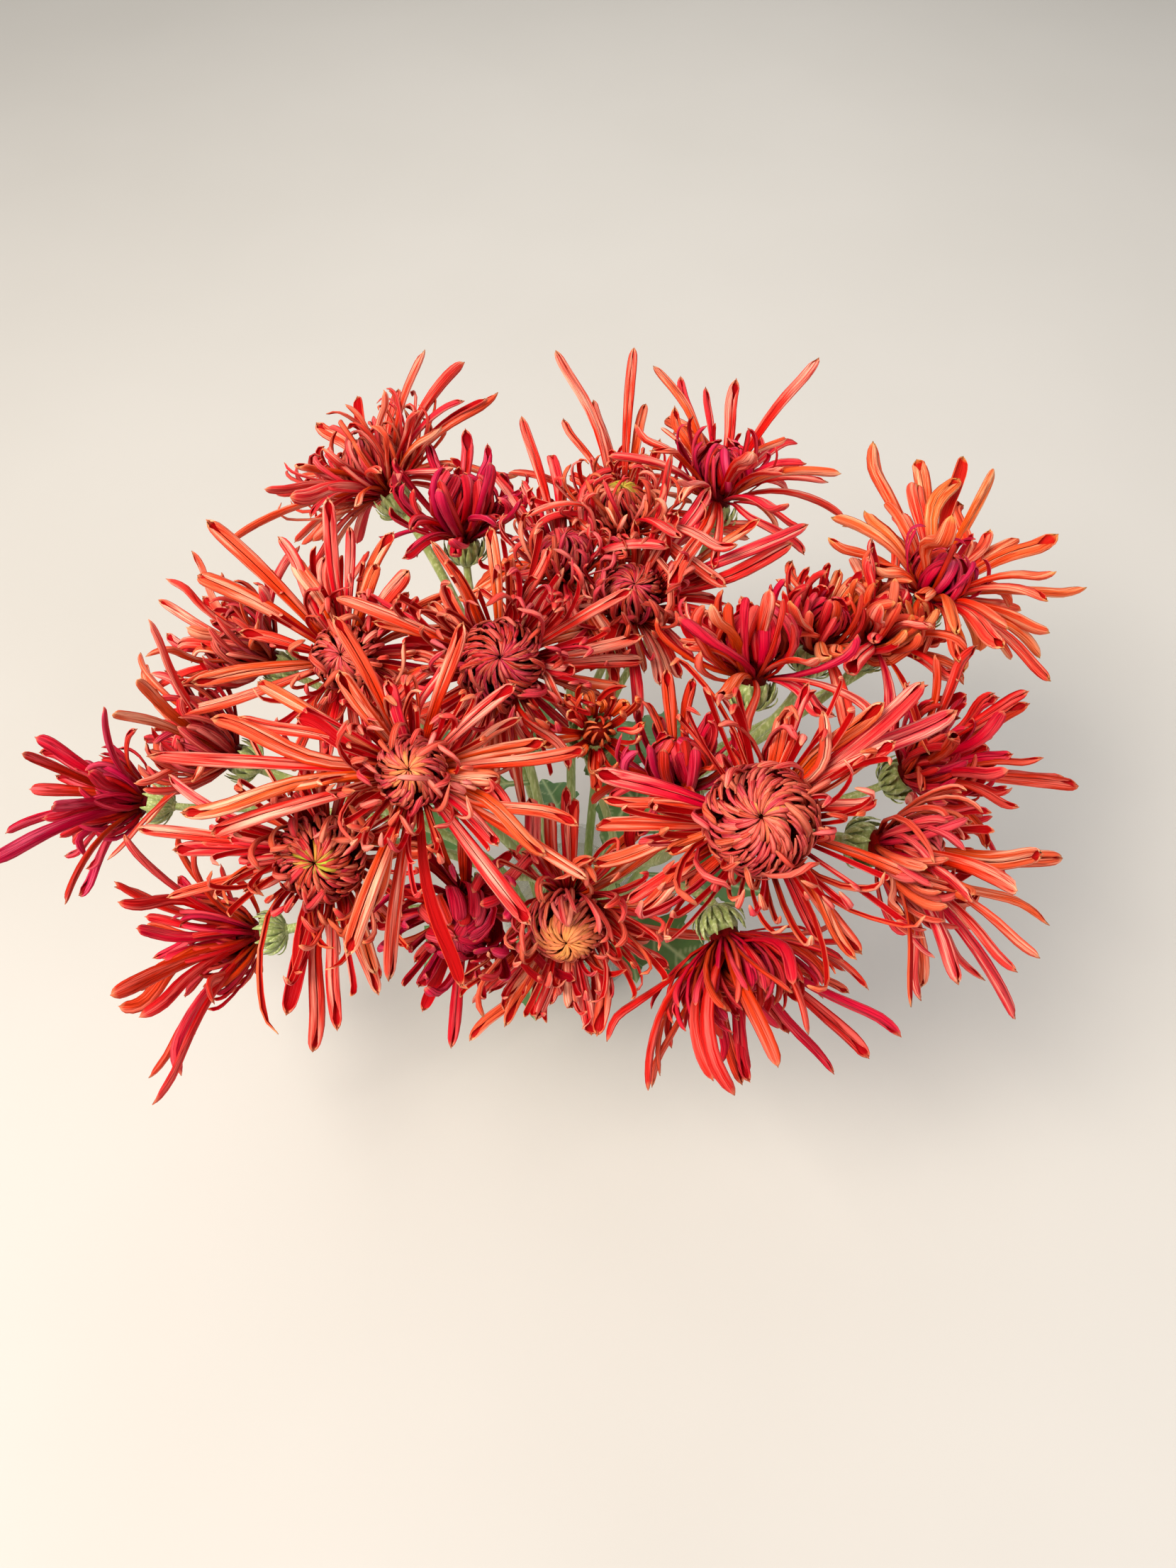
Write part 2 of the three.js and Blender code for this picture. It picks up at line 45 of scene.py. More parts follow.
IMAGE_HEIGHT_PIXELS = 2212
FOCAL_PIXELS = 1661
SENSOR_MM = 36.0
EYE = (0.0095, -0.330, 0.660)
LOOKS_DOWN_DEGREES = 56
FLOOR_SPAN = 8.0
FLOOR_HEX = "#C9C5BE"
FLOOR_SHADE_HEX = "#BFBBB3"
WORLD_HEX = "#E4E6E8"
WORLD_STRENGTH = 0.48
# Each light: name, place in metres, width in metres, power in watts, colour.
LIGHTS = [
    ("key_light", (-0.75, -0.55, 1.60), 0.8, 43.0, "#FFF6EC"),
    ("fill_light", (1.15, -0.70, 1.10), 1.2, 9.5, "#F6F7FF"),
    ("back_light", (0.20, 1.10, 1.10), 0.9, 6.0, "#FFFFFF"),
]
LIGHTS_AIM = Vector((0, 0, 0.22))

scene = bpy.context.scene


def linear(hex_colour):
    """An sRGB hex colour as linear red, green, blue and full alpha."""
    parts = [int(hex_colour[i:i + 2], 16) / 255 for i in (1, 3, 5)]
    return (*[c / 12.92 if c <= 0.04045 else ((c + 0.055) / 1.055) ** 2.4 for c in parts], 1.0)


def add_node(tree, kind, inputs=None, **settings):
    """Adds one shader node, its inputs plain values or sockets to link, and returns its outputs."""
    made = tree.nodes.new("ShaderNode" + kind)
    for name, value in settings.items():
        setattr(made, name, value)
    for name, value in (inputs or {}).items():
        if isinstance(value, bpy.types.NodeSocket):
            tree.links.new(value, made.inputs[name])
        else:
            made.inputs[name].default_value = value
    return made.outputs


def empty_material(name):
    """A new material and its empty node tree."""
    material = bpy.data.materials.new(name)
    material.use_nodes = True
    material.node_tree.nodes.clear()
    return material, material.node_tree


def add_piece(name, points, faces, material, attributes=None):
    """A smooth mesh object at the origin: points in millimetres, faces as arrays of quads or triangles, and
    attributes as a colour or a vector a point."""
    mesh = bpy.data.meshes.new(name)
    counts = np.concatenate([np.full(len(group), group.shape[1]) for group in faces])
    corners = np.concatenate([group.ravel() for group in faces])
    mesh.vertices.add(len(points))
    mesh.vertices.foreach_set("co", (np.asarray(points, float) / 1000).ravel())
    mesh.loops.add(len(corners))
    mesh.loops.foreach_set("vertex_index", corners.astype(np.int32))
    mesh.polygons.add(len(counts))
    mesh.polygons.foreach_set("loop_start", (np.cumsum(counts) - counts).astype(np.int32))
    for key, values in (attributes or {}).items():
        kind, field = ("FLOAT_COLOR", "color") if values.shape[1] == 4 else ("FLOAT_VECTOR", "vector")
        mesh.attributes.new(key, kind, "POINT").data.foreach_set(field, values.ravel())
    mesh.update(calc_edges=True)
    mesh.validate()
    mesh.shade_smooth()
    mesh.materials.append(material)
    made = bpy.data.objects.new(name, mesh)
    scene.collection.objects.link(made)
    return made


camera_data = bpy.data.cameras.new("camera")
camera_data.sensor_fit = "VERTICAL"
camera_data.sensor_height = SENSOR_MM
camera_data.lens = SENSOR_MM * FOCAL_PIXELS / IMAGE_HEIGHT_PIXELS
camera = bpy.data.objects.new("camera", camera_data)
camera.location = EYE
camera.rotation_euler = (math.radians(90 - LOOKS_DOWN_DEGREES), 0, 0)
scene.collection.objects.link(camera)
scene.camera = camera

# Painted board: matt, with a broad faint cloudiness so that it isn't dead flat.
board, tree = empty_material("matt_painted_board")
place = add_node(tree, "TexCoord")["Object"]
cloud = add_node(tree, "TexNoise", {"Vector": place, "Scale": 3.0, "Detail": 3.0})["Fac"]
tone = add_node(tree, "Mix", {0: cloud, 6: linear(FLOOR_HEX), 7: linear(FLOOR_SHADE_HEX)},
                data_type="RGBA")[2]
finish = add_node(tree, "BsdfPrincipled", {"Base Color": tone, "Roughness": 0.85})[0]
add_node(tree, "OutputMaterial", {"Surface": finish})
half = FLOOR_SPAN * 500
floor_points = [[-half, -half, 0], [half, -half, 0], [half, half, 0], [-half, half, 0]]
add_piece("studio_floor", floor_points, [np.array([[0, 1, 2, 3]])], board)

scene.world = bpy.data.worlds.new("studio")
scene.world.use_nodes = True
background = scene.world.node_tree.nodes["Background"].inputs
background["Color"].default_value = linear(WORLD_HEX)
background["Strength"].default_value = WORLD_STRENGTH
scene.view_settings.view_transform = "Standard"

for name, place, width, power, colour in LIGHTS:
    lamp = bpy.data.lights.new(name, "AREA")
    lamp.size = width
    lamp.energy = power
    lamp.color = linear(colour)[:3]
    light = bpy.data.objects.new(name, lamp)
    light.location = place
    light.rotation_euler = (LIGHTS_AIM - Vector(place)).to_track_quat("-Z", "Y").to_euler()
    scene.collection.objects.link(light)


# Vase
# A low round tumbler of clear pressed glass with a thick base and a rounded, fire-polished rim. It stands on
# its flat foot, and holds the water and all of the stems.

VASE_HEIGHT = 68
BASE_RADIUS = 40
RIM_RADIUS = 42
HEEL_RADIUS = 4
WALL = 3
FLOOR_THICKNESS = 9
ROUND_SIDES = 96
ARC_STEPS = 6


def arc(centre, radius, start, end):
    """Points of an arc in the profile's plane, from one angle to another in degrees."""
    angle = np.radians(np.linspace(start, end, ARC_STEPS + 1))
    return np.stack([centre[0] + radius * np.cos(angle), centre[1] + radius * np.sin(angle)], -1)


def grid_quads(rows, columns):
    """Quads of a grid of rows by columns points, joined round from the last column to the first."""
    start = np.arange(rows - 1)[:, None] * columns
    this = start + np.arange(columns)
    after = start + (np.arange(columns) + 1) % columns
    return np.stack([this, after, after + columns, this + columns], -1).reshape(-1, 4)


def closed_rings(rings, first, last):
    """Points and faces of rings, rows by sides by 3, that a point at each end closes."""
    rows, sides = rings.shape[:2]
    this = np.arange(sides)
    after = (this + 1) % sides
    top = (rows - 1) * sides
    fans = [np.stack([after, this, np.full(sides, rows * sides)], -1),
            np.stack([top + this, top + after, np.full(sides, rows * sides + 1)], -1)]
    return np.concatenate([rings.reshape(-1, 3), [first, last]]), [grid_quads(rows, sides), *fans]


def turned(profile, sides):
    """A profile turned about Z: (r, z) at the angle t stands at (r cos t, r sin t, z). Its ends lie on Z."""
    r, z = profile[1:-1, :1], profile[1:-1, 1:]
    angle = np.arange(sides) * 2 * np.pi / sides
    rings = np.stack([r * np.cos(angle), r * np.sin(angle), np.repeat(z, sides, 1)], -1)
    return closed_rings(rings, [0, 0, profile[0][1]], [0, 0, profile[-1][1]])


def clear_material(name, tint_hex, ior, roughness, cover, wave_scale, wave_strength, wave_height):
    """A clear material with shallow waves. It bends the cover's share of the light and lets the rest
    through, so that what stands in it isn't dark."""
    material, tree = empty_material(name)
    place = add_node(tree, "TexCoord")["Object"]
    waves = add_node(tree, "TexNoise", {"Vector": place, "Scale": wave_scale, "Detail": 1.0})["Fac"]
    ripple = add_node(tree, "Bump", {"Height": waves, "Strength": wave_strength, "Distance": wave_height})[0]
    finish = add_node(tree, "BsdfPrincipled", {
        "Base Color": linear(tint_hex), "Roughness": roughness, "IOR": ior, "Transmission Weight": 1.0,
        "Alpha": cover, "Normal": ripple})[0]
    add_node(tree, "OutputMaterial", {"Surface": finish})
    return material


inside_heel = (BASE_RADIUS - WALL - HEEL_RADIUS, FLOOR_THICKNESS + HEEL_RADIUS)
vase_profile = np.concatenate([
    [[0, 0], [BASE_RADIUS / 2, 0]],
    arc((BASE_RADIUS - HEEL_RADIUS, HEEL_RADIUS), HEEL_RADIUS, -90, 0),
    arc((RIM_RADIUS - WALL / 2, VASE_HEIGHT - WALL / 2), WALL / 2, 0, 180),
    arc(inside_heel, HEEL_RADIUS, 0, -90),
    [[BASE_RADIUS / 2, FLOOR_THICKNESS], [0, FLOOR_THICKNESS]],
])

# Soda-lime glass, pressed and fire-polished: clear and very smooth, with long shallow waves.
glass = clear_material("pressed_soda_lime_glass", "#F4FAF7", ior=1.52, roughness=0.02, cover=0.45,
                       wave_scale=45.0, wave_strength=0.15, wave_height=0.0006)

vase = add_piece("glass_vase", *turned(vase_profile, ROUND_SIDES), glass)
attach(vase, "root")
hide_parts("vase")


# Water
# Tap water a day old, tinted by the stems that stand in it. It fills the vase to a little over half way, and
# its edge climbs the glass a little.

WATER_LEVEL = 50
WATER_GAP = 0.05
MENISCUS = 1.2

# The vase widens evenly from its inside heel to just under the rim.
widening = (WATER_LEVEL - inside_heel[1]) / (VASE_HEIGHT - 1 - inside_heel[1])
surface_radius = BASE_RADIUS - WALL + widening * (RIM_RADIUS - BASE_RADIUS) - WATER_GAP
water_bottom = FLOOR_THICKNESS + WATER_GAP
water_profile = np.concatenate([
    [[0, water_bottom], [BASE_RADIUS / 2, water_bottom]],
    arc(inside_heel, HEEL_RADIUS - WATER_GAP, -90, 0),
    [[surface_radius, WATER_LEVEL + MENISCUS], [surface_radius - 0.5, WATER_LEVEL + 0.3 * MENISCUS],
     [surface_radius - 2, WATER_LEVEL], [surface_radius / 2, WATER_LEVEL], [0, WATER_LEVEL]],
])

# Water: clear, mirror smooth, with a yellow-green tint that deepens with depth.
clear_water = clear_material("tinted_tap_water", "#DCD99A", ior=1.333, roughness=0.0, cover=0.4,
                             wave_scale=20.0, wave_strength=0.05, wave_height=0.0005)

water = add_piece("vase_water", *turned(water_profile, ROUND_SIDES), clear_water)
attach(water, "root")
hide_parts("water")


# Stems
# Green herbaceous stems, ribbed and finely downy, cut square and stood on the vase's floor. Each swells into
# a cup of small overlapping green bracts that carries a flower head, and some fork near the top.

STEM_RADIUS = 2.45
BRANCH_RADIUS = 1.95
STEM_SIDES = 15
STEM_RIBS = 5
RIB_DEPTH = 0.07
STRAIGHT_STATIONS = 7
CURVE_STATIONS = 30
FOOT_SPREAD = 0.72
FOOT_HEIGHT = FLOOR_THICKNESS + 0.6
FORK_SHARE = 0.55
STEM_LEAD = 0.42
STEM_ARRIVAL = 0.12
CUP_DEPTH = 12
CUP_SIDES = 20
BOWL = np.array([[0, -CUP_DEPTH], [2.3, -CUP_DEPTH], [3.2, -10.6], [5.2, -8], [6.6, -4.5], [7.2, -1.5],
                 [6.8, -0.2], [4, 0.6], [0, 1.2]])
BRACT_ROWS = 3
BRACTS_IN_ROW = 9
BRACT_STATIONS = 6
BRACT_SKIN = 0.35
BRACT_CURL = 0.9
BRACT_HALF = 1.75
BRACT_FOOT = 3.0
BRACT_FOOT_DEPTH = 10.5
STEM_HEX = "#AABA68"
STEM_PALE_HEX = "#D6DEA4"
STEM_DARK_HEX = "#7C9048"

# Each head: x, y, z of the point where its florets meet, the azimuth and elevation that it faces, and the
# radius of its core.
HEADS = [
    (-87, 111, 260, 135, 35, 20), (-49, 78, 261, 95, 60, 18), (0, 44, 271, 100, 80, 16),
    (25, 68, 276, 90, 75, 16), (69, 84, 278, 75, 60, 16), (28, 32, 266, -80, 70, 17),
    (-95, 4, 262, -85, 55, 18), (-27, -9, 272, -85, 58, 23), (-137, 23, 237, 170, 35, 16),
    (-55, -81, 297, -85, 60, 17), (-152, -17, 217, 170, 30, 17), (-200, -22, 188, 175, 10, 12),
    (-97, -82, 244, -85, 50, 23), (-142, -81, 166, 190, -5, 15), (-40, -96, 225, -95, 35, 18),
    (1, -96, 227, -90, 25, 20), (12, -37, 263, -60, 60, 9), (47, -61, 254, 100, 60, 14),
    (75, -91, 279, -105, 60, 27), (76, -29, 287, 85, 55, 17), (109, 8, 263, 60, 60, 15),
    (136, 20, 253, 40, 60, 15), (166, 46, 253, 45, 60, 15), (121, -91, 264, -25, 20, 18),
    (151, -32, 225, 0, 45, 16), (65, -109, 224, -70, -15, 18),
]
# Each stem: the x and y where it passes the vase's mouth, the head at its end, and the head on its branch.
STEMS = [
    (-16, 24, 1, 2), (0, 11, 3, 6), (10, 27, 4, 5), (-24, 8, 7, 9), (-9, -1, 8, 0), (-12, -18, 10, 0),
    (-31, -6, 11, 12), (-26, -15, 13, 0), (-20, -27, 14, 0), (-3, -30, 16, 15), (6, -9, 18, 17),
    (15, -19, 19, 0), (17, -3, 20, 0), (22, 9, 21, 22), (24, 21, 23, 0), (30, -10, 24, 25),
    (10, -31, 26, 0),
]


def unit(vectors):
    """The same vectors at length one."""
    return vectors / np.linalg.norm(vectors, axis=-1, keepdims=True)


def direction(azimuth, elevation):
    """Unit vector of an azimuth, with 0 along +X and 90 along +Y, and an elevation, in degrees."""
    turn, rise = np.radians(azimuth), np.radians(elevation)
    return np.stack([np.cos(rise) * np.cos(turn), np.cos(rise) * np.sin(turn), np.sin(rise)], -1)


def head_axes(number):
    """A head's place and axes: k along the way it faces, a level across it, and b across both."""
    x, y, z, azimuth, elevation, _ = HEADS[number]
    k = direction(azimuth, elevation)
    a = unit(np.cross([0.0, 0.0, 1.0], k))
    return np.array([x, y, z], float), a, np.cross(k, a), k


def clock_axes(number, clock):
    """A head's place, its axis, and the outward and sideways directions at each clock angle in degrees."""
    at, a, b, k = head_axes(number)
    turn = np.radians(clock)[..., None]
    return at, k, np.cos(turn) * a + np.sin(turn) * b, np.cos(turn) * b - np.sin(turn) * a


def reach(start, heading, number):
    """A cubic curve, four controls weighted by the Bernstein terms of t, from a point and its heading to a
    head's neck, which it meets along the head's axis."""
    at, _, _, k = head_axes(number)
    end = at - k * (CUP_DEPTH - 1)
    span = np.linalg.norm(end - start)
    controls = [start, start + heading * STEM_LEAD * span, end - k * STEM_ARRIVAL * (1 + k[2]) * span, end]
    t = np.linspace(0, 1, CURVE_STATIONS)[:, None]
    weights = [(1 - t) ** 3, 3 * t * (1 - t) ** 2, 3 * t ** 2 * (1 - t), t ** 3]
    return sum(weight * control for weight, control in zip(weights, controls))


def main_path(stem):
    """A stem's line from its foot on the vase's floor to the mouth, then its curve to its first head."""
    mouth = np.array([stem[0], stem[1], VASE_HEIGHT], float)
    foot = np.array([stem[0] * FOOT_SPREAD, stem[1] * FOOT_SPREAD, FOOT_HEIGHT])
    straight = foot + (mouth - foot) * np.linspace(0, 1, STRAIGHT_STATIONS)[:-1, None]
    return np.concatenate([straight, reach(mouth, unit(mouth - foot), stem[2] - 1)])


def at_share(path, share):
    """Point and heading of a path at a share of its length."""
    steps = np.linalg.norm(np.diff(path, axis=0), axis=1)
    along = np.concatenate([[0], np.cumsum(steps)]) / steps.sum()
    point, ahead, behind = (np.array([np.interp(spot, along, path[:, i]) for i in range(3)])
                            for spot in (share, share + 0.01, share - 0.01))
    return point, unit(ahead - behind)


def ribbed_tube(path, radius):
    """A closed tube: each ring stands square to the path, and its radius swells RIB_DEPTH at each of the
    ribs, radius * (1 + RIB_DEPTH * cos(ribs * t))."""
    tangent = unit(np.gradient(path, axis=0))
    level = unit(np.cross(path[-1] - path[0], [0.0, 0.0, 1.0]) + [0.0, 1e-6, 0.0])
    side = unit(level - np.sum(level * tangent, -1, keepdims=True) * tangent)
    up = np.cross(tangent, side)
    turn = np.arange(STEM_SIDES) * 2 * np.pi / STEM_SIDES
    wide = (1 + RIB_DEPTH * np.cos(STEM_RIBS * turn)) * radius[:, None]
    rings = (path[:, None] + side[:, None] * (wide * np.cos(turn))[..., None]
             + up[:, None] * (wide * np.sin(turn))[..., None])
    return closed_rings(rings, path[0], path[-1])


def shell_faces(stations, outer, inner):
    """Faces of a closed shell whose rings have the outer points from edge to edge, then the inner ones back,
    or none: quads along it, and triangles over its two ends."""
    loop = outer + inner
    near = np.arange(outer)
    far = loop - 1 - np.round(near * (inner - 1) / (outer - 1)).astype(int) if inner else near * 0
    cap = np.concatenate([np.stack([near[:-1], near[1:], far[1:]], -1),
                          np.stack([near[:-1], far[1:], far[:-1]], -1)])
    cap = cap[(cap[:, 0] != cap[:, 2]) & (cap[:, 1] != cap[:, 2])]
    return grid_quads(stations, loop), np.concatenate([cap[:, ::-1], cap + (stations - 1) * loop])


def curled_shells(paths, sideways, half, deep, curl, skin, outer, inner, turn=0.0, notch=0.0):
    """Closed shells curled round paths. With e from -1 to 1 across, the back is an arc of an ellipse: at the
    angle curl * e from straight below it stands half * sin(angle) / sin(curl, or 90 degrees past it) across
    and -deep * cos(angle) up. The inside is that arc moved in by the skin; with no inner points a chord
    closes the back. Turn rolls the shell, and notch jags its edge. Also returns e."""
    count, stations = paths.shape[:2]
    tangent = unit(np.gradient(paths, axis=1))
    side = unit(sideways[:, None] - np.sum(sideways[:, None] * tangent, -1, keepdims=True) * tangent)
    up = np.cross(tangent, side)
    side, up = side * np.cos(turn) + up * np.sin(turn), up * np.cos(turn) - side * np.sin(turn)

    e = np.concatenate([np.linspace(-1, 1, outer), np.linspace(1, -1, inner)])
    angle = np.multiply.outer(curl, e)
    spread = (half / np.sin(np.minimum(curl, np.pi / 2)))[..., None]
    deep = deep[..., None]
    ring = np.stack([spread * np.sin(angle), -deep * np.cos(angle)], -1)
    outward = unit(np.stack([np.sin(angle) * deep, -np.cos(angle) * spread], -1))
    ring = ring - outward * np.repeat([0.0, skin], [outer, inner])[:, None]
    forward = np.multiply.outer(notch, 0.5 - np.abs(e) + 0.35 * np.cos(3 * np.pi * e))
    points = (paths[:, :, None] + side[:, :, None] * ring[..., :1] + up[:, :, None] * ring[..., 1:]
              + tangent[:, :, None] * forward[..., None])

    start = (np.arange(count) * stations * len(e))[:, None, None]
    faces = [(group + start).reshape(-1, group.shape[1]) for group in shell_faces(stations, outer, inner)]
    return points.reshape(-1, 3), faces, e


def joined(parts):
    """Several (points, faces) as one, each part's faces counted on from the points before it."""
    starts = np.cumsum([0] + [len(points) for points, _ in parts])
    faces = [group + start for (_, groups), start in zip(parts, starts) for group in groups]
    return np.concatenate([points for points, _ in parts]), faces


def placed(number, points, faces):
    """A turned shape stood on a head's axis."""
    at, *axes = head_axes(number)
    return at + points @ axes, faces


def cup_parts(number):
    """A head's green cup: a turned bowl, and rows of bracts from its neck up its side, each wide out from
    the axis and rise up along it."""
    parts = [placed(number, *turned(BOWL, CUP_SIDES))]
    share = np.linspace(0, 1, BRACT_STATIONS)
    for row in range(BRACT_ROWS):
        clock = (np.arange(BRACTS_IN_ROW) + 0.5 * row) * 360 / BRACTS_IN_ROW
        at, k, out, sideways = clock_axes(number, clock)
        rise = (12.5 - 3.2 * row) * share - BRACT_FOOT_DEPTH
        wide = BRACT_FOOT + (6.4 + 0.8 * row) * np.sin(np.pi / 2 * share ** 0.8)
        half = BRACT_HALF * (1 - 0.2 * row) * np.sin(np.pi * (0.12 + 0.86 * share)) + 0.15
        paths = at + out[:, None] * wide[:, None] + k * rise[:, None]
        deep = half * 0.7 + 0.2
        parts.append(curled_shells(paths, sideways, half, deep, BRACT_CURL, BRACT_SKIN, 4, 4)[:2])
    return parts


# Herbaceous stem: waxy green with paler ribs and fine lengthwise lines, a little mottled, satin.
green_stem, tree = empty_material("green_chrysanthemum_stem")
place = add_node(tree, "TexCoord")["Object"]
stretch = add_node(tree, "Mapping", {"Vector": place, "Scale": (900, 900, 60)})[0]
lines = add_node(tree, "TexNoise", {"Vector": stretch, "Scale": 1.0, "Detail": 2.0})["Fac"]
mottle = add_node(tree, "TexNoise", {"Vector": place, "Scale": 70.0, "Detail": 3.0})["Fac"]
pale = add_node(tree, "MapRange", {"Value": lines, "From Min": 0.48, "From Max": 0.7, "To Max": 0.7})[0]
shade = linear(STEM_DARK_HEX)
for share, colour in ((mottle, STEM_HEX), (pale, STEM_PALE_HEX)):
    shade = add_node(tree, "Mix", {0: share, 6: shade, 7: linear(colour)}, data_type="RGBA")[2]
down = add_node(tree, "Bump", {"Height": lines, "Strength": 0.4, "Distance": 0.0003})[0]
finish = add_node(tree, "BsdfPrincipled", {
    "Base Color": shade, "Roughness": 0.5, "Sheen Weight": 0.15, "Normal": down})[0]
add_node(tree, "OutputMaterial", {"Surface": finish})

for order, stem in enumerate(STEMS, 1):
    path = main_path(stem)
    parts = [ribbed_tube(path, STEM_RADIUS * np.linspace(1.0, 0.9, len(path)))] + cup_parts(stem[2] - 1)
    if stem[3]:
        branch = reach(*at_share(path, FORK_SHARE), stem[3] - 1)
        parts += [ribbed_tube(branch, BRANCH_RADIUS * np.linspace(1.0, 0.92, len(branch)))]
        parts += cup_parts(stem[3] - 1)
    piece = add_piece(f"green_stem_{order:02d}", *joined(parts), green_stem)
    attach(piece, "root")
    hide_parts(f"stem_{order:02d}")


# Leaves
# Soft, deeply lobed leaves, dark blue-green above and paler below, each on a short stalk that grows from its
# stem. Pale veins run from the midrib into the lobes, and the blade is puckered between them.

LEAF_ROWS = 44
LEAF_COLUMNS = 17
LEAF_THICKNESS = 0.5
STALK_SHARE = 0.2
STALK_WIDTH = 2.4
STALK_DEPTH = 1.4
STALK_SUNK = 0.4
BLADE_SHARE = 0.42
BLADE_SKEW = 0.8
LOBES = 3
LOBE_DEPTH = 0.27
TOOTH_DEPTH = 0.07
TEETH = 13
LEAF_DROOP = 0.25
LEAF_FOLD = 0.16
VEIN_SPACING = 0.22
MIDRIB_DEPTH = 0.9
LEAF_HEX = "#5E8A44"
LEAF_DARK_HEX = "#3D6632"
VEIN_HEX = "#A9BE84"
# Each leaf: its stem, the height where its stalk leaves it, azimuth, rise, length and width.
LEAVES = [
    (17, 130, -40, 10, 62, 34), (16, 105, -5, 5, 66, 32), (11, 120, 62, 35, 58, 24), (2, 96, 110, 0, 50, 26),
    (13, 170, 130, 25, 50, 24), (5, 165, 190, 10, 56, 30), (4, 140, 120, 20, 62, 32),
    (9, 95, -80, -5, 54, 28), (8, 110, 230, 0, 60, 32), (1, 120, 90, 15, 66, 34), (3, 110, 60, 10, 64, 32),
    (15, 120, 75, 10, 66, 34), (14, 110, 0, 15, 62, 30), (7, 110, 150, 5, 60, 32), (12, 120, -80, 5, 52, 28),
]


def leaf_surface(length, width, seed):
    """A leaf along +X. Its half width is even over the stalk, and with t from 0 to 1 over the blade it is
    BLADE_SHARE * width * sin(pi * t^BLADE_SKEW) * (1 + lobes + teeth). It droops as x squared, folds up at
    the midrib and puckers between its veins. Marks: how near a vein is, and 1 on the underside."""
    share = np.linspace(0, 1, LEAF_ROWS)[:, None]
    t = np.clip((share - STALK_SHARE) / (1 - STALK_SHARE), 0, 1)
    lobes = LOBE_DEPTH * np.cos(2 * np.pi * LOBES * t) + TOOTH_DEPTH * np.cos(2 * np.pi * TEETH * t)
    blade = BLADE_SHARE * width * np.sin(np.pi * t ** BLADE_SKEW) * (1 + lobes)
    e = np.linspace(-1, 1, LEAF_COLUMNS)
    y = (blade + STALK_WIDTH / 2 * (1 - t ** 4)) * e
    off = np.abs(y)
    x = share * length + 0.22 * off * (t > 0) * (1 - t)
    vein = (x - 0.75 * off) / (VEIN_SPACING * length)
    pucker = 0.7 * np.cos(2 * np.pi * vein) * np.minimum(off / 8, 1) + 0.4 * np.sin(x / 6 + seed)
    z = LEAF_FOLD * off - LEAF_DROOP * length * share ** 2 + pucker * t
    stalk = STALK_DEPTH * np.clip(1 - t / 0.06, 0, 1) * np.sqrt(1 - e ** 2)
    bottom = np.stack([x, y, z - stalk - MIDRIB_DEPTH * np.exp(-(y / 0.9) ** 2)], -1)
    top = np.stack([x, y, z + LEAF_THICKNESS], -1)
    ring = np.concatenate([bottom, top[:, ::-1]], axis=1)
    lateral = np.exp(-((vein - np.round(vein)) * VEIN_SPACING * length / 0.6) ** 2) * (off > 0.5)
    strength = np.maximum(np.exp(-(off / 0.8) ** 2), 0.75 * lateral * (t > 0.02))
    under = np.repeat([1.0, 0.0], LEAF_COLUMNS)
    marks = np.stack(np.broadcast_arrays(np.tile(strength, 2), under, 0.0, 1.0), -1)
    return ring.reshape(-1, 3), shell_faces(LEAF_ROWS, LEAF_COLUMNS, LEAF_COLUMNS), marks.reshape(-1, 4)


# Living leaf: satin blue-green skin, darker between pale sunken veins, greyer and paler on its underside.
leaf_skin, tree = empty_material("chrysanthemum_leaf")
place = add_node(tree, "TexCoord")["Object"]
marks = add_node(tree, "Attribute", attribute_name="leaf")["Color"]
veined, below, _ = add_node(tree, "SeparateColor", {0: marks})
mottle = add_node(tree, "TexNoise", {"Vector": place, "Scale": 160.0, "Detail": 3.0})["Fac"]
greyed = add_node(tree, "Math", {0: below, 1: 0.4}, operation="MULTIPLY")[0]
shade = linear(LEAF_DARK_HEX)
for share, colour in ((mottle, LEAF_HEX), (veined, VEIN_HEX), (greyed, VEIN_HEX)):
    shade = add_node(tree, "Mix", {0: share, 6: shade, 7: linear(colour)}, data_type="RGBA")[2]
raised = add_node(tree, "Math", {0: mottle, 1: veined}, operation="SUBTRACT")[0]
bumps = add_node(tree, "Bump", {"Height": raised, "Strength": 0.5, "Distance": 0.0004})[0]
finish = add_node(tree, "BsdfPrincipled", {
    "Base Color": shade, "Roughness": 0.48, "Subsurface Weight": 0.08, "Subsurface Scale": 0.002,
    "Normal": bumps})[0]
add_node(tree, "OutputMaterial", {"Surface": finish})

for order, (stem, height, azimuth, rise, length, width) in enumerate(LEAVES, 1):
    path = main_path(STEMS[stem - 1])
    dense = np.stack([np.interp(np.linspace(0, len(path) - 1, 400), np.arange(len(path)), path[:, i])
                      for i in range(3)], -1)
    index = int(np.argmax(dense[:, 2] >= height))
    along = unit(dense[index + 1] - dense[index - 1])
    out = direction(azimuth, 0)
    out = unit(out - out.dot(along) * along)
    points, faces, marks = leaf_surface(length, width, order)
    axes = [direction(azimuth, rise), direction(azimuth + 90, 0), direction(azimuth, rise + 90)]
    seat = dense[index] + out * (STEM_RADIUS - STALK_SUNK)
    piece = add_piece(f"lobed_leaf_{order:02d}", seat + points @ axes, faces, leaf_skin, {"leaf": marks})
    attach(piece, "root")
    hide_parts(f"leaf_{order:02d}")


# Flower heads
# Each head is a few hundred soft florets on one green base. Narrow ones curl over the middle in a ball, the
# next hook inwards at their tips, and the longest are quills, rolled shut but for a scoop at the tip, salmon
# on the back with darker lines and deep crimson inside.

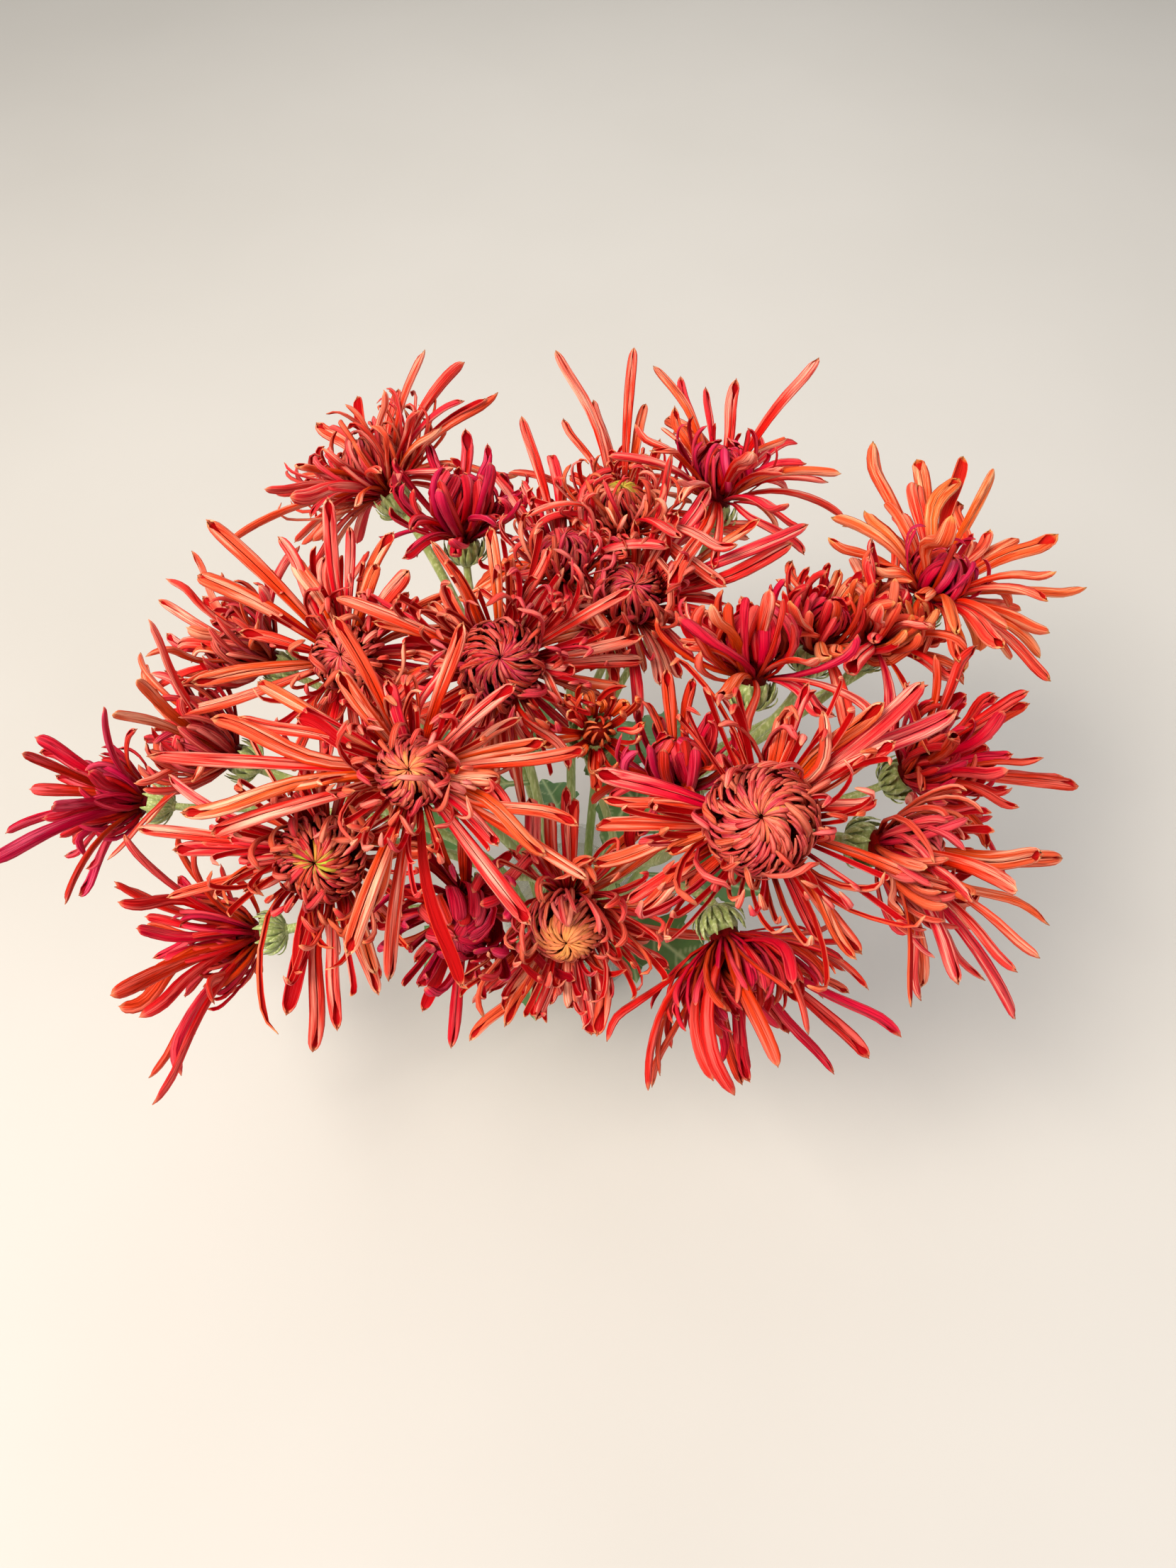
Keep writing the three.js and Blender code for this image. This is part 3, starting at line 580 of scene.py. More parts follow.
SKIN = 0.32
GOLDEN_ANGLE = 137.508
FLORET_RISE = 3
FLORET_RISE_PER_DEGREE = 0.12
FLORET_ROOT = 8
FLORET_ARCH = 18
FALLING_ARCH = -40
LEAST_ARCH = 5
FLORET_BELLY = 0.42
HOOK_START = 0.8
LOOSE_SAG = 0.12
# A quill's half width at its widest is this and a share of its length.
QUILL_HALF = 2.1
QUILL_HALF_PER_MM = 0.014
# Where rings of points stand along each kind of floret, as shares of its length, and how wide it is there.
QUILL_SHARES = np.array([0, 0.1, 0.22, 0.35, 0.48, 0.6, 0.7, 0.79, 0.86, 0.92, 0.96, 0.985, 1])
HOOK_SHARES = np.array([0, 0.25, 0.48, 0.66, 0.76, 0.84, 0.9, 0.95, 1])
CORE_SHARES = np.array([0, 0.28, 0.5, 0.7, 0.87, 1])
QUILL_SWELL = ([0, 0.3, 0.7, 0.9, 0.96, 0.985, 1], [0.4, 0.68, 1, 1, 0.82, 0.56, 0.24])
HOOK_SWELL = ([0, 0.5, 0.85, 0.95, 1], [0.7, 0.85, 1.1, 1, 0.6])
CORE_SWELL = ([0, 0.4, 0.65, 0.85, 1], [0.8, 1, 1, 0.72, 0.24])
# Heads whose long florets are broader, and by how much.
BROAD = {21: 1.3, 22: 1.3, 23: 1.4, 24: 1.15}
# Share of the long florets that lie open as straps.
STRAP_SHARE = 0.04

# The long florets of each head's outline: clock angle about its axis, lift towards it, and length.
RAYS = [
    [(155, 40, 70), (155, 25, 72), (155, 5, 70), (205, 40, 70), (220, 60, 60), (255, 50, 70), (280, 35, 70),
     (25, 20, 70), (0, 15, 85), (35, 10, 70)],
    [(260, 60, 50), (240, 50, 45), (295, 40, 55), (50, 25, 40), (220, 20, 40)],
    [(275, 25, 85), (265, 30, 65), (285, 20, 55), (292, 12, 70), (240, 30, 45), (320, 10, 30)],
    [(290, 35, 95), (280, 25, 75), (265, 35, 95), (258, 30, 70), (290, 20, 40), (250, 15, 55), (110, 25, 70)],
    [(245, 40, 95), (240, 25, 65), (275, 50, 60), (310, 35, 85), (303, 35, 75), (293, 40, 65), (120, 10, 65),
     (80, 15, 65)],
    [(65, 20, 65), (57, 35, 45), (45, 20, 60), (20, 15, 65), (5, 10, 75), (13, 15, 85), (80, 20, 35),
     (340, 0, 40), (135, 20, 30)],
    [(130, 10, 80), (145, 5, 75), (115, 25, 60), (90, 25, 70), (80, 30, 60), (65, 20, 60), (165, 5, 45),
     (185, 0, 65), (195, -5, 80), (305, 0, 30)],
    [(90, 25, 60), (115, 25, 60), (65, 20, 55), (25, 20, 65), (0, -5, 60), (350, -5, 50), (150, 5, 65),
     (155, 20, 75), (275, 5, 60), (260, 5, 55)],
    [(240, 35, 60), (248, 30, 55), (215, 35, 60), (235, 40, 80), (208, 40, 75)],
    [(65, 25, 60), (110, 25, 65), (120, 35, 50), (155, 5, 65), (165, 5, 75), (180, 5, 50), (5, 10, 65),
     (335, 15, 65), (325, 10, 75), (305, 10, 70), (250, 15, 70), (260, -5, 75), (275, -5, 80), (35, 30, 55),
     (145, 0, 70), (172, 0, 95), (183, 0, 85), (192, -5, 80)],
    [(60, 40, 85), (72, 40, 80), (95, 40, 85), (330, 25, 70), (300, 25, 55), (15, 40, 50)],
    [(70, 30, 75), (260, 55, 65), (35, 25, 90), (280, 45, 60), (230, 55, 65), (100, 15, 60)],
    [(165, 5, 50), (165, 20, 40), (180, 30, 35), (200, 25, 35), (260, 0, 85), (270, 5, 70), (175, 0, 60),
     (310, 15, 40), (253, 10, 65), (285, 0, 60), (168, 0, 75), (150, 10, 70), (192, 0, 65)],
    [(110, 30, 80), (105, 45, 70), (100, 10, 65), (220, 60, 70), (50, 35, 80), (20, 20, 95), (42, 25, 75)],
    [(250, 10, 50), (210, 15, 35), (240, 25, 40), (265, 0, 65), (40, 0, 35)],
    [(240, 10, 75), (240, 20, 55), (255, 25, 50), (275, 35, 45), (280, 20, 60), (330, 10, 50), (340, -10, 80),
     (230, 5, 65), (335, 10, 40), (315, 20, 40)],
    [(25, 60, 25), (240, 15, 25), (140, 45, 25)],
    [(280, 45, 45), (265, 55, 50), (240, 45, 50), (230, 30, 40), (275, 30, 40)],
    [(175, 15, 65), (182, 15, 60), (195, 0, 65), (205, 0, 65), (225, 10, 55), (235, 25, 40), (55, 20, 80),
     (45, 5, 80), (60, 25, 65), (45, 25, 60), (90, 30, 45), (80, 20, 55), (25, 15, 45), (310, -5, 45),
     (320, -5, 60), (355, 0, 75)],
    [(300, 10, 60), (140, 0, 60), (110, 20, 60), (65, 35, 60), (90, 60, 45), (75, 5, 60), (300, 30, 45)],
    [(315, 30, 45), (285, 45, 40), (265, 40, 40), (80, 25, 50), (125, -10, 60)],
    [(105, 30, 55), (230, 0, 55), (205, 5, 40), (110, 5, 55), (135, -10, 65), (155, -10, 65)],
    [(340, 25, 85), (305, 35, 90), (290, 35, 90), (335, 30, 50), (350, 10, 60), (50, 10, 60), (265, 25, 70),
     (250, 30, 75), (225, 20, 75), (220, 5, 60), (145, 10, 60), (320, 30, 85)],
    [(255, 35, 95), (310, 40, 90), (140, 45, 70), (260, 25, 75), (250, 15, 70), (280, 25, 70), (315, -15, 70),
     (330, -5, 70)],
    [(280, 25, 85), (275, 30, 90), (150, 50, 65), (330, 20, 60), (120, 45, 65), (270, -10, 45)],
    [(225, 35, 75), (250, 50, 65), (270, 50, 70), (305, 45, 90), (325, 45, 90), (345, 45, 85), (350, 20, 60),
     (335, 10, 60), (205, 15, 65), (335, 35, 65)],
]
# Each head's form: open, cage (broad florets wrapped over the middle), bud (the same in a full ring), loose
# (a tangle), half (swept forward like a shuttlecock), fall (its florets hang) or small.
FORM_OF = ["open", "cage", "open", "open", "bud", "open", "open", "open", "half", "open", "half", "half",
           "open", "half", "cage", "open", "small", "cage", "open", "cage", "loose", "loose", "bud", "half",
           "half", "fall"]
# Each form's long florets, and the lifts of the loose ones; its hooked ones a millimetre of core, from which
# ring to which (0 hugs the core, 1 lies flat), the bend of their tips and their half width; its core ones a
# millimetre, their spread in degrees and their half width; and its wrapping ones.
FORMS = {
    "open": ((44, -25, 38), (3.6, 0.0, 0.9, 120, 1.2), (8.0, 84, 1.15), 0),
    "cage": ((18, -20, 45), (0.9, 0.2, 0.8, 80, 2.2), (2.4, 50, 1.3), 26),
    "loose": ((26, 15, 70), (1.6, 0.0, 0.7, 55, 2.2), (2.4, 50, 1.3), 6),
    "half": ((30, 15, 72), (2.6, 0.1, 0.6, 60, 1.7), (3.2, 60, 1.3), 0),
    "fall": ((30, 30, 68), (4.4, 0.0, 0.62, 45, 1.5), (2.6, 60, 1.4), 0),
    "bud": ((44, -20, 52), (0.6, 0.0, 0.3, 90, 1.3), (3.0, 60, 1.3), 24),
    "small": ((12, -20, 50), (0.6, 0.2, 0.9, 90, 1.9), (1.2, 50, 1.2), 0),
}
# The heads whose long or short florets have each colouring. The others' are coral.
COLOURINGS = {
    "long": {"crimson": (14, 15, 18, 25, 26), "magenta": (2, 12), "orange": (17, 21, 23)},
    "short": {"dark_coral": (3, 6, 8, 9, 11), "green_hearted_coral": (4, 13), "crimson": (14, 20, 21, 25, 26),
              "magenta": (2, 5, 12, 15, 18, 23), "orange": (17, 22)},
}
# Heads with a golden or green middle, and the share of the core that it fades out over.
HEARTS = {4: 0.25, 10: 0.17, 13: 0.1, 16: 0.7, 19: 0.05}
# The core's ball, as shares of the core's radius; the share of its florets whose tips meet in the middle,
# and at what angle; where the next tips start; how the rows crowd; and the millimetres of each that show.
BALL_RADIUS = 0.76
BALL_HEIGHT = 0.86
CORE_MIDDLE = 0.13
MIDDLE_DEGREES = 4.5
CORE_STEP_DEGREES = 8
CORE_CROWDING_DEGREES = 42
CORE_SHOWN = 10.5
# How near other heads' loose long florets and hooked ones may pass to the line to the eye from a core, as a
# share of its radius, by its form, and from a cup, in millimetres.
LONG_ROOM = {"open": 0.85, "half": 1.6, "fall": 1.7, "cage": 1.3, "cup": 12}
HOOKED_ROOM = {"open": 0.45, "half": 0.5, "fall": 0.6, "cage": 0.8, "cup": 5}

# Each head's core, as the middle and radius of a ball that other florets keep off, and its cup's middle.
core_balls = []
for number, head in enumerate(HEADS):
    at, _, _, k = head_axes(number)
    core_balls.append((at + 0.8 * head[5] * k, head[5] + 2.0, at - CUP_DEPTH / 2 * k))


def keep_off(points, own):
    """Pushes points off the other heads' cores: r from a core's middle becomes the fourth root of r^4 + R^4,
    so that nothing comes nearer than R and far points stay."""
    for number, (middle, radius, _) in enumerate(core_balls):
        if number != own:
            apart = points - middle
            r = np.linalg.norm(apart, axis=-1, keepdims=True)
            points = middle + apart * ((r ** 4 + radius ** 4) ** 0.25 / r)
    return points


def lies_across(paths, own, room):
    """Which florets pass close by the line to the eye from another head's core, or from the cup of one that
    is seen from the side. Room says how close."""
    across = np.zeros(len(paths), bool)
    for number, (middle, radius, cup) in enumerate(core_balls):
        form = FORM_OF[number]
        spots = [(middle, radius * room.get(form, room["open"]))]
        if form in ("half", "fall"):
            spots.append((cup, room["cup"]))
        for spot, clear in spots if number != own else ():
            to_eye = unit(np.array(EYE) * 1000 - spot)
            ahead = (paths - spot) @ to_eye
            beside = np.linalg.norm(paths - spot - ahead[..., None] * to_eye, axis=-1)
            across |= ((ahead > 0) & (beside < clear)).any(axis=1)
    return across


def quill_paths(number, clock, lift, length, chance, loose):
    """Long florets: a quadratic curve from the root ring out to the tip, arched towards the head's axis. The
    last fifth hooks in or out by a few millimetres, and loose ones sag and sway."""
    at, k, out, sideways = clock_axes(number, clock)
    t, lift, length = QUILL_SHARES[:, None], lift[:, None], length[:, None]
    bow = FALLING_ARCH * loose if FORM_OF[number] == "fall" else FLORET_ARCH
    arch = np.radians(np.maximum(lift + bow, LEAST_ARCH))
    start = at + k * (FLORET_RISE + FLORET_RISE_PER_DEGREE * np.maximum(lift, 0)) + out * FLORET_ROOT
    middle = start + (out * np.cos(arch) + k * np.sin(arch)) * FLORET_BELLY * length
    tip = at + (out * np.cos(np.radians(lift)) + k * np.sin(np.radians(lift))) * length
    paths = (1 - t) ** 2 * start[:, None] + 2 * t * (1 - t) * middle[:, None] + t ** 2 * tip[:, None]
    hook = np.clip((t - HOOK_START) / (1 - HOOK_START), 0, 1) ** 2
    hook = hook * chance.normal(2.0, 3.0, len(clock))[:, None, None]
    paths = paths + hook * np.cross(unit(tip - middle), sideways)[:, None]
    sway = np.sin(np.pi * t * chance.uniform(0.6, 1.9, len(clock))[:, None, None]) * t
    sway = sway * chance.normal(0, 1, len(clock))[:, None, None] * (0.035 + 0.055 * loose)
    aside = sideways[:, None] * sway - np.array([0, 0, LOOSE_SAG]) * loose * t ** 2
    return keep_off(paths + aside * length[:, None], number), sideways


def turning_paths(number, clock, root, heading, shares, length, lean):
    """Florets bent in their meridian planes. With the heading from 0 outward to 90 along the head's axis and
    180 inward, each step goes on by its share of the length at the mean heading of its two ends."""
    at, k, out, sideways = clock_axes(number, clock)
    mean = np.radians((heading[:, 1:] + heading[:, :-1]) / 2)
    step = np.diff(shares) * length[:, None]
    o, u = (start[:, None] + np.pad(np.cumsum(step * part, axis=1), ((0, 0), (1, 0)))
            for start, part in zip(root, (np.cos(mean), np.sin(mean))))
    aside = lean[:, None] * shares ** 2.5 * length[:, None]
    paths = at + out[:, None] * o[..., None] + k * u[..., None] + sideways[:, None] * aside[..., None]
    return keep_off(paths, number), sideways


def wrapped_paths(number, clock, tip, back, radius, height, swirl, shares, lift):
    """Florets that curl over a ball: a floret's polar angle from the axis falls from tip + back at its root
    to tip, its clock turns by swirl, and it rises out of the ball onto it, where its tip stands off by lift
    times the radius."""
    polar = np.radians(tip[:, None] + back[:, None] * (1 - shares) ** 1.1)
    at, k, out, sideways = clock_axes(number, clock[:, None] + swirl * (1 - shares))
    risen = 0.64 + 0.36 * np.sin(np.pi / 2 * np.minimum(1, 1.6 * shares)) + lift[:, None] * shares ** 4
    r = radius[:, None] * risen
    paths = at + k * height + out * (r * np.sin(polar))[..., None] + k * (r * np.cos(polar))[..., None]
    return paths, sideways[:, -1]


def floret_block(paths, sideways, shares, half, swell, curl, mouth, flat, tone, chance, outer, inner,
                 roll=0.2, teeth=0.0, open_from=0.8):
    """Curled shells, flat times as deep as they are wide, whose curl opens to mouth from the share open_from
    on. Marks: skin (0 back, 1 inside), way along, chance and tone; grain: across and along in mm, chance."""
    count = len(paths)
    turn = chance.normal(0, roll, count)[:, None, None] * (0.4 + 0.6 * shares[:, None])
    wide = half[:, None] * np.interp(shares, *swell)
    from_share = np.broadcast_to(open_from, count)[:, None]
    opening = np.clip((shares - from_share) / (1 - from_share), 0, 1) ** 1.3
    bent = curl[:, None] + (np.minimum(mouth, curl) - curl)[:, None] * opening
    points, faces, e = curled_shells(paths, sideways, wide, np.maximum(wide * flat[:, None], 0.4), bent,
                                     SKIN, outer, inner, turn, teeth * shares ** 12)
    luck = chance.uniform(0, 1, count)[:, None, None]
    skin = np.repeat([0.0, 1.0], [outer, inner])
    along = shares[:, None]
    length = np.linalg.norm(np.diff(paths, axis=1), axis=-1).sum(1)[:, None, None]
    across = 0.8 * e * bent[..., None] * half[:, None, None]
    marks = np.stack(np.broadcast_arrays(skin, along, luck, tone[:, None, None]), -1)
    grain = np.stack(np.broadcast_arrays(across, along * length, luck * 300), -1)
    return points, faces, marks.reshape(-1, 4), grain.reshape(-1, 3)


def long_florets(number, chance, total, low, high):
    """The listed long florets of a head, and loose ones at golden-angle clocks that fill its ring without
    lying across another head. Most are quills, closed almost to the tip, and some are open straps."""
    listed = np.array(RAYS[number], float)
    extra = max(total - len(listed), 6)
    clock = (np.arange(extra) * GOLDEN_ANGLE + chance.uniform(0, 360)) % 360
    lift = chance.uniform(low, high, extra)
    length = listed[:, 2].mean() * chance.uniform(0.52, 1.0, extra)
    blocks = []
    for c, l, n, loose in ((*listed.T, 0.0), (clock, lift, length, 1.0)):
        paths, sideways = quill_paths(number, c, l, n, chance, loose)
        if loose:
            shown = ~lies_across(paths, number, LONG_ROOM)
            paths, sideways, n = paths[shown], sideways[shown], n[shown]
        count = len(n)
        strap = chance.uniform(0, 1, count) < STRAP_SHARE
        half = (QUILL_HALF + QUILL_HALF_PER_MM * n) * chance.uniform(0.72, 1.2, count)
        half = half * BROAD.get(number + 1, 1)
        curl = np.radians(np.where(strap, chance.uniform(75, 125, count), chance.uniform(176, 179, count)))
        mouth = np.radians(chance.uniform(85, 170, count))
        blocks.append(floret_block(
            paths, sideways, QUILL_SHARES, half, QUILL_SWELL, curl, mouth, chance.uniform(0.36, 0.62, count),
            chance.uniform(0, 0.15, count), chance, outer=9, inner=5, roll=0.45, teeth=1.2,
            open_from=1 - chance.uniform(3, 11, count) / n))
    return blocks


def hooked_florets(number, chance, each, first, last, bend, width):
    """The rings of florets round the core. The innermost hug it, the outermost lie flat, and each turns
    sharply inwards over its last few millimetres."""
    r = HEADS[number][5]
    count = int(each * r) + 8
    ring = first + (last - first) * ((np.arange(count) + 0.5) / count) ** 1.25
    clock = (np.arange(count) * GOLDEN_ANGLE + chance.uniform(0, 360)) % 360 + chance.normal(0, 6, count)
    launch = 38 - 30 * ring + chance.normal(0, 10, count)
    bow = 100 - 78 * ring + chance.normal(0, 16, count)
    length = (r * (1.65 + 0.5 * ring) + 5) * chance.uniform(0.8, 1.2, count)
    body = (1 - chance.uniform(5, 10, count) / length)[:, None]
    heading = launch[:, None] + (bow - launch)[:, None] * np.clip(HOOK_SHARES / body, 0, 1) ** 1.2
    sharp = bend * chance.uniform(0.5, 1.35, count)
    heading = heading + sharp[:, None] * np.clip((HOOK_SHARES - body) / (1 - body), 0, 1)
    root = (chance.uniform(4.5, 7, count), 1 + 3 * (1 - ring))
    lean = chance.normal(0, 0.13, count)
    lean = lean + (chance.uniform(0, 1, count) < 0.3) * chance.normal(0, 0.25, count)
    paths, sideways = turning_paths(number, clock, root, heading, HOOK_SHARES, length, lean)
    shown = ~lies_across(paths, number, HOOKED_ROOM)
    paths, sideways, ring = paths[shown], sideways[shown], ring[shown]
    count = len(ring)
    half = width * chance.uniform(0.75, 1.2, count) * (0.75 + r / 90)
    curl = np.radians(chance.uniform(95, 165, count))
    flat = chance.uniform(0.55, 0.85, count)
    tone = 0.2 + 0.6 * (1 - ring) * chance.uniform(0.6, 1, count)
    return floret_block(paths, sideways, HOOK_SHARES, half, HOOK_SWELL, curl, np.radians(80), flat, tone,
                        chance, outer=5, inner=3, roll=0.5, teeth=0.7)


def core_florets(number, chance, each, spread, width):
    """The innermost florets, curled over the ball in a spiral. The first tips meet round a small hole, dark
    with the receptacle's painted shade below it, and of the rest as many lie within the angle t of the axis
    as cos(c) - cos(c + t) gives, where c is the crowding, so that each row's tips lie over the row inside it."""
    r = HEADS[number][5]
    count = int(each * r)
    q = (np.arange(count) + 0.5) / count
    clock = np.arange(count) * GOLDEN_ANGLE % 360 + chance.normal(0, 8, count)
    outside = np.maximum(0, (q - CORE_MIDDLE) / (1 - CORE_MIDDLE))
    crowding, least, most = np.radians(CORE_CROWDING_DEGREES + np.array([0, CORE_STEP_DEGREES, spread]))
    rest = np.degrees(np.arccos(np.cos(least) - outside * (np.cos(least) - np.cos(most))) - crowding)
    tip = np.where(q < CORE_MIDDLE, MIDDLE_DEGREES, rest) + chance.normal(0, 1, count) * (0.9 + 5 * q)
    back = np.degrees(CORE_SHOWN / (BALL_RADIUS * r)) * chance.uniform(0.8, 1.25, count) + 20
    radius = BALL_RADIUS * r * (0.88 + 0.12 * q) * chance.uniform(0.97, 1.03, count)
    swirl = chance.choice([-1, 1]) * chance.uniform(20, 36) + chance.normal(0, 9, (count, 1))
    paths, sideways = wrapped_paths(number, clock, tip, back, radius, BALL_HEIGHT * r, swirl, CORE_SHARES,
                                    0.2 * q - 0.16)
    half = width * chance.uniform(0.75, 1.15, count) * (0.66 + r / 75) * (0.74 + 0.34 * np.sqrt(q))
    curl = np.radians(chance.uniform(80, 110, count))
    tone = 1.0 - 0.2 * q + np.clip(1 - q / HEARTS.get(number + 1, 1e-6), 0, 1)
    return floret_block(paths, sideways, CORE_SHARES, half, CORE_SWELL, curl, curl[0],
                        chance.uniform(0.75, 1.05, count), tone, chance, outer=6, inner=0, roll=0.3)


def wrapping_florets(number, chance, count):
    """The broad florets of a bud, wrapped up its sides and over its middle in layers."""
    r = HEADS[number][5]
    q = (np.arange(count) + 0.5) / count
    clock = (np.arange(count) * GOLDEN_ANGLE) % 360 + chance.normal(0, 8, count)
    tip = -6 + 46 * q * chance.uniform(0.4, 1.4, count)
    radius = r * (0.66 + 0.36 * q) * chance.uniform(0.95, 1.06, count)
    swirl = chance.uniform(-40, 40) + chance.normal(0, 12, (count, 1))
    paths, sideways = wrapped_paths(number, clock, tip, 112 - 24 * q, radius, 0.8 * r, swirl, HOOK_SHARES,
                                    chance.uniform(0, 0.2, count))
    half = 0.5 + r * chance.uniform(0.11, 0.17, count)
    curl = np.radians(chance.uniform(65, 105, count))
    return floret_block(paths, sideways, HOOK_SHARES, half, QUILL_SWELL, curl, np.radians(60),
                        chance.uniform(0.4, 0.6, count), chance.uniform(0.1, 0.5, count), chance,
                        outer=6, inner=4, roll=0.4, teeth=0.8)


def receptacle(number):
    """The solid heart of packed floret bases inside the core: a small dome, marked as the root of the core so
    that it takes the painted shade colour.
    """
    r = HEADS[number][5]
    profile = np.array([[0, -0.2], [5.5, -0.2], [0.42 * r, 0.4 * r], [0.45 * r, 0.8 * r], [0.38 * r, 1.1 * r],
                        [0.2 * r, 1.24 * r], [0, 1.28 * r]])
    points, faces = placed(number, *turned(profile, 12))
    return points, faces, np.tile([0.0, 0.0, 0.5, 1.0], (len(points), 1)), points


def petal_material(name, *hexes):
    """Floret skin. The back is clouded between two colours, with thin dark lines a millimetre or two apart,
    and redder at the root, partly its own colour and partly painted shade. The inside is deep and even. Tone
    moves the back from the long florets' colour at 0 to the dusky core at 1, with painted shade over its
    root, back and inside, and along its sides, and on to the golden heart at 2, at the tip first."""
    pale, back, line, inside, dusky, deep, heart, tip = (linear(colour) for colour in hexes)
    material, tree = empty_material(name)
    mark = add_node(tree, "Attribute", attribute_name="floret")
    skin, along, luck = add_node(tree, "SeparateColor", {0: mark["Color"]})
    tone = mark["Alpha"]
    grain = add_node(tree, "Attribute", attribute_name="grain")["Vector"]

    # Noise drawn out along the floret, for features this many millimetres across and along.
    noise = []
    for across_mm, along_mm, detail in ((1.5, 60, 1.0), (0.4, 16, 2.0), (2.5, 45, 2.0)):
        drawn = add_node(tree, "Mapping", {"Vector": grain, "Scale": (1 / across_mm, 1 / along_mm, 1)})[0]
        noise.append(add_node(tree, "TexNoise", {"Vector": drawn, "Scale": 1.0, "Detail": detail})["Fac"])
    band, vein, cloud = noise
    across = add_node(tree, "SeparateXYZ", {0: grain})[0]
    distance = []
    for value, middle in ((band, 0.5), (across, 0.0)):
        apart = add_node(tree, "Math", {0: value, 1: middle}, operation="SUBTRACT")[0]
        distance.append(add_node(tree, "Math", {0: apart}, operation="ABSOLUTE")[0])
    off_line, off_keel = distance

    # How much of each layer shows: a ramp of a value between two others, held level beyond them.
    share = {}
    for layer, value, low, high, at_low, at_high in (
            ("pale", cloud, 0.46, 0.66, 0, 0.8), ("faded", along, 0.35, 1, 0, 0.15),
            ("dusky", tone, 0.15, 0.9, 0, 0.85), ("vein", vein, 0.48, 0.66, 0, 0.55),
            # root: redder towards the root, partly the florets' own colour and partly painted shade where
            # they crowd.
            ("line", off_line, 0, 0.04, 0.85, 0), ("root", along, 0, 0.62, 1, 0),
            ("ripe", tone, 1, 2, 0, 1), ("outward", along, 0.1, 0.7, 0.1, 1),
            # buried: the ramp of painted shade from the core florets' roots outward.
            ("core", tone, 0.3, 1, 0, 1), ("painted_root_shade", along, 0.15, 0.62, 1, 0),
            ("streak", vein, 0.4, 0.62, 0, 0.7), ("tip", along, 0.97, 1, 0, 0.4),
            ("ends", tone, 0.5, 0.9, 1, 0.1), ("fleck", vein, 0.5, 0.62, 0, 0.6),
            # side: distance off the keel, which sets the painted shade along the sides of the core florets.
            ("side", off_keel, 0.35, 1.3, 0, 0.7), ("backs", skin, 0, 1, 1, 0.1),
            ("warmth", luck, 0, 1, 0.492, 0.512), ("depth", cloud, 0.3, 0.7, 0.9, 1.1)):
        share[layer] = add_node(tree, "MapRange", {
            "Value": value, "From Min": low, "From Max": high, "To Min": at_low, "To Max": at_high})[0]
    for layer, one, other in (
            # deep: painted shade over the roots of the core florets, on back and inside.
            ("heart", "ripe", "outward"), ("deep", "core", "painted_root_shade"), ("end", "tip", "ends"),
            # edge: painted shade along the sides of the core florets, so their keels stand lighter.
            ("streaked", "fleck", "core"), ("edge", "side", "core")):
        share[layer] = add_node(tree, "Math", {0: share[one], 1: share[other]}, operation="MULTIPLY")[0]

    # The layers of the back and of the inside, from the lowest up. Root is partly painted shade, and edge and
    # deep are painted shade.
    coats = []
    for coat, layers in (
            (back, (("pale", pale), ("faded", pale), ("dusky", dusky), ("streaked", pale), ("vein", line),
                    ("line", line), ("root", inside), ("edge", deep), ("deep", deep), ("heart", heart))),
            (inside, (("streak", line), ("deep", deep)))):
        for layer, colour in layers:
            coat = add_node(tree, "Mix", {0: share[layer], 6: coat, 7: colour}, data_type="RGBA")[2]
        coats.append(coat)
    shade = add_node(tree, "Mix", {0: skin, 6: coats[0], 7: coats[1]}, data_type="RGBA")[2]
    shade = add_node(tree, "Mix", {0: share["end"], 6: shade, 7: tip}, data_type="RGBA")[2]
    shade = add_node(tree, "HueSaturation", {
        "Fac": share["backs"], "Hue": share["warmth"], "Saturation": 1.015, "Value": share["depth"],
        "Color": shade})[0]
    relief = add_node(tree, "Math", {0: vein, 1: share["line"]}, operation="SUBTRACT")[0]
    bumps = add_node(tree, "Bump", {"Height": relief, "Strength": 0.6, "Distance": 0.0006})[0]
    finish = add_node(tree, "BsdfPrincipled", {
        "Base Color": shade, "Roughness": 0.52, "Specular IOR Level": 0.08, "Subsurface Weight": 0.2,
        "Subsurface Scale": 0.002, "Normal": bumps})[0]
    add_node(tree, "OutputMaterial", {"Surface": finish})
    return material


# Each colouring's slot and its colours: pale and full back, line, inside, dusky core, the painted shade
# colour at its roots and sides, heart, tip.
PETALS = {
    "coral": ("florets_coral", "#FFB69C", "#F02A1C", "#A8040C", "#B20408", "#DC5250", "#74040A", "#F2985A",
              "#FBBC84"),
    "dark_coral": ("florets_coral", "#FFA48C", "#DE2018", "#90040E", "#AA0408", "#BE2C40", "#5E020A",
                   "#F2985A", "#FBB888"),
    "green_hearted_coral": ("florets_coral", "#FFBA9E", "#F02A1C", "#A8040C", "#B20408", "#CC3C38", "#74040A",
                            "#B4BC3C", "#FBC480"),
    "crimson": ("florets_magenta", "#EE6660", "#D81424", "#980216", "#B80008", "#C01C2C", "#64020C",
                "#F0A050", "#F8A878"),
    "magenta": ("florets_magenta", "#EA6072", "#CE1430", "#84021A", "#A4020E", "#B81838", "#5C0212",
                "#E05850", "#F0A070"),
    "orange": ("florets_orange", "#FFB68C", "#F44E28", "#C02412", "#C00C06", "#D84C28", "#7A0C04", "#F0A048",
               "#FBCC70"),
}
skins = {name: petal_material(f"{name}_floret", *colours) for name, (_, *colours) in PETALS.items()}

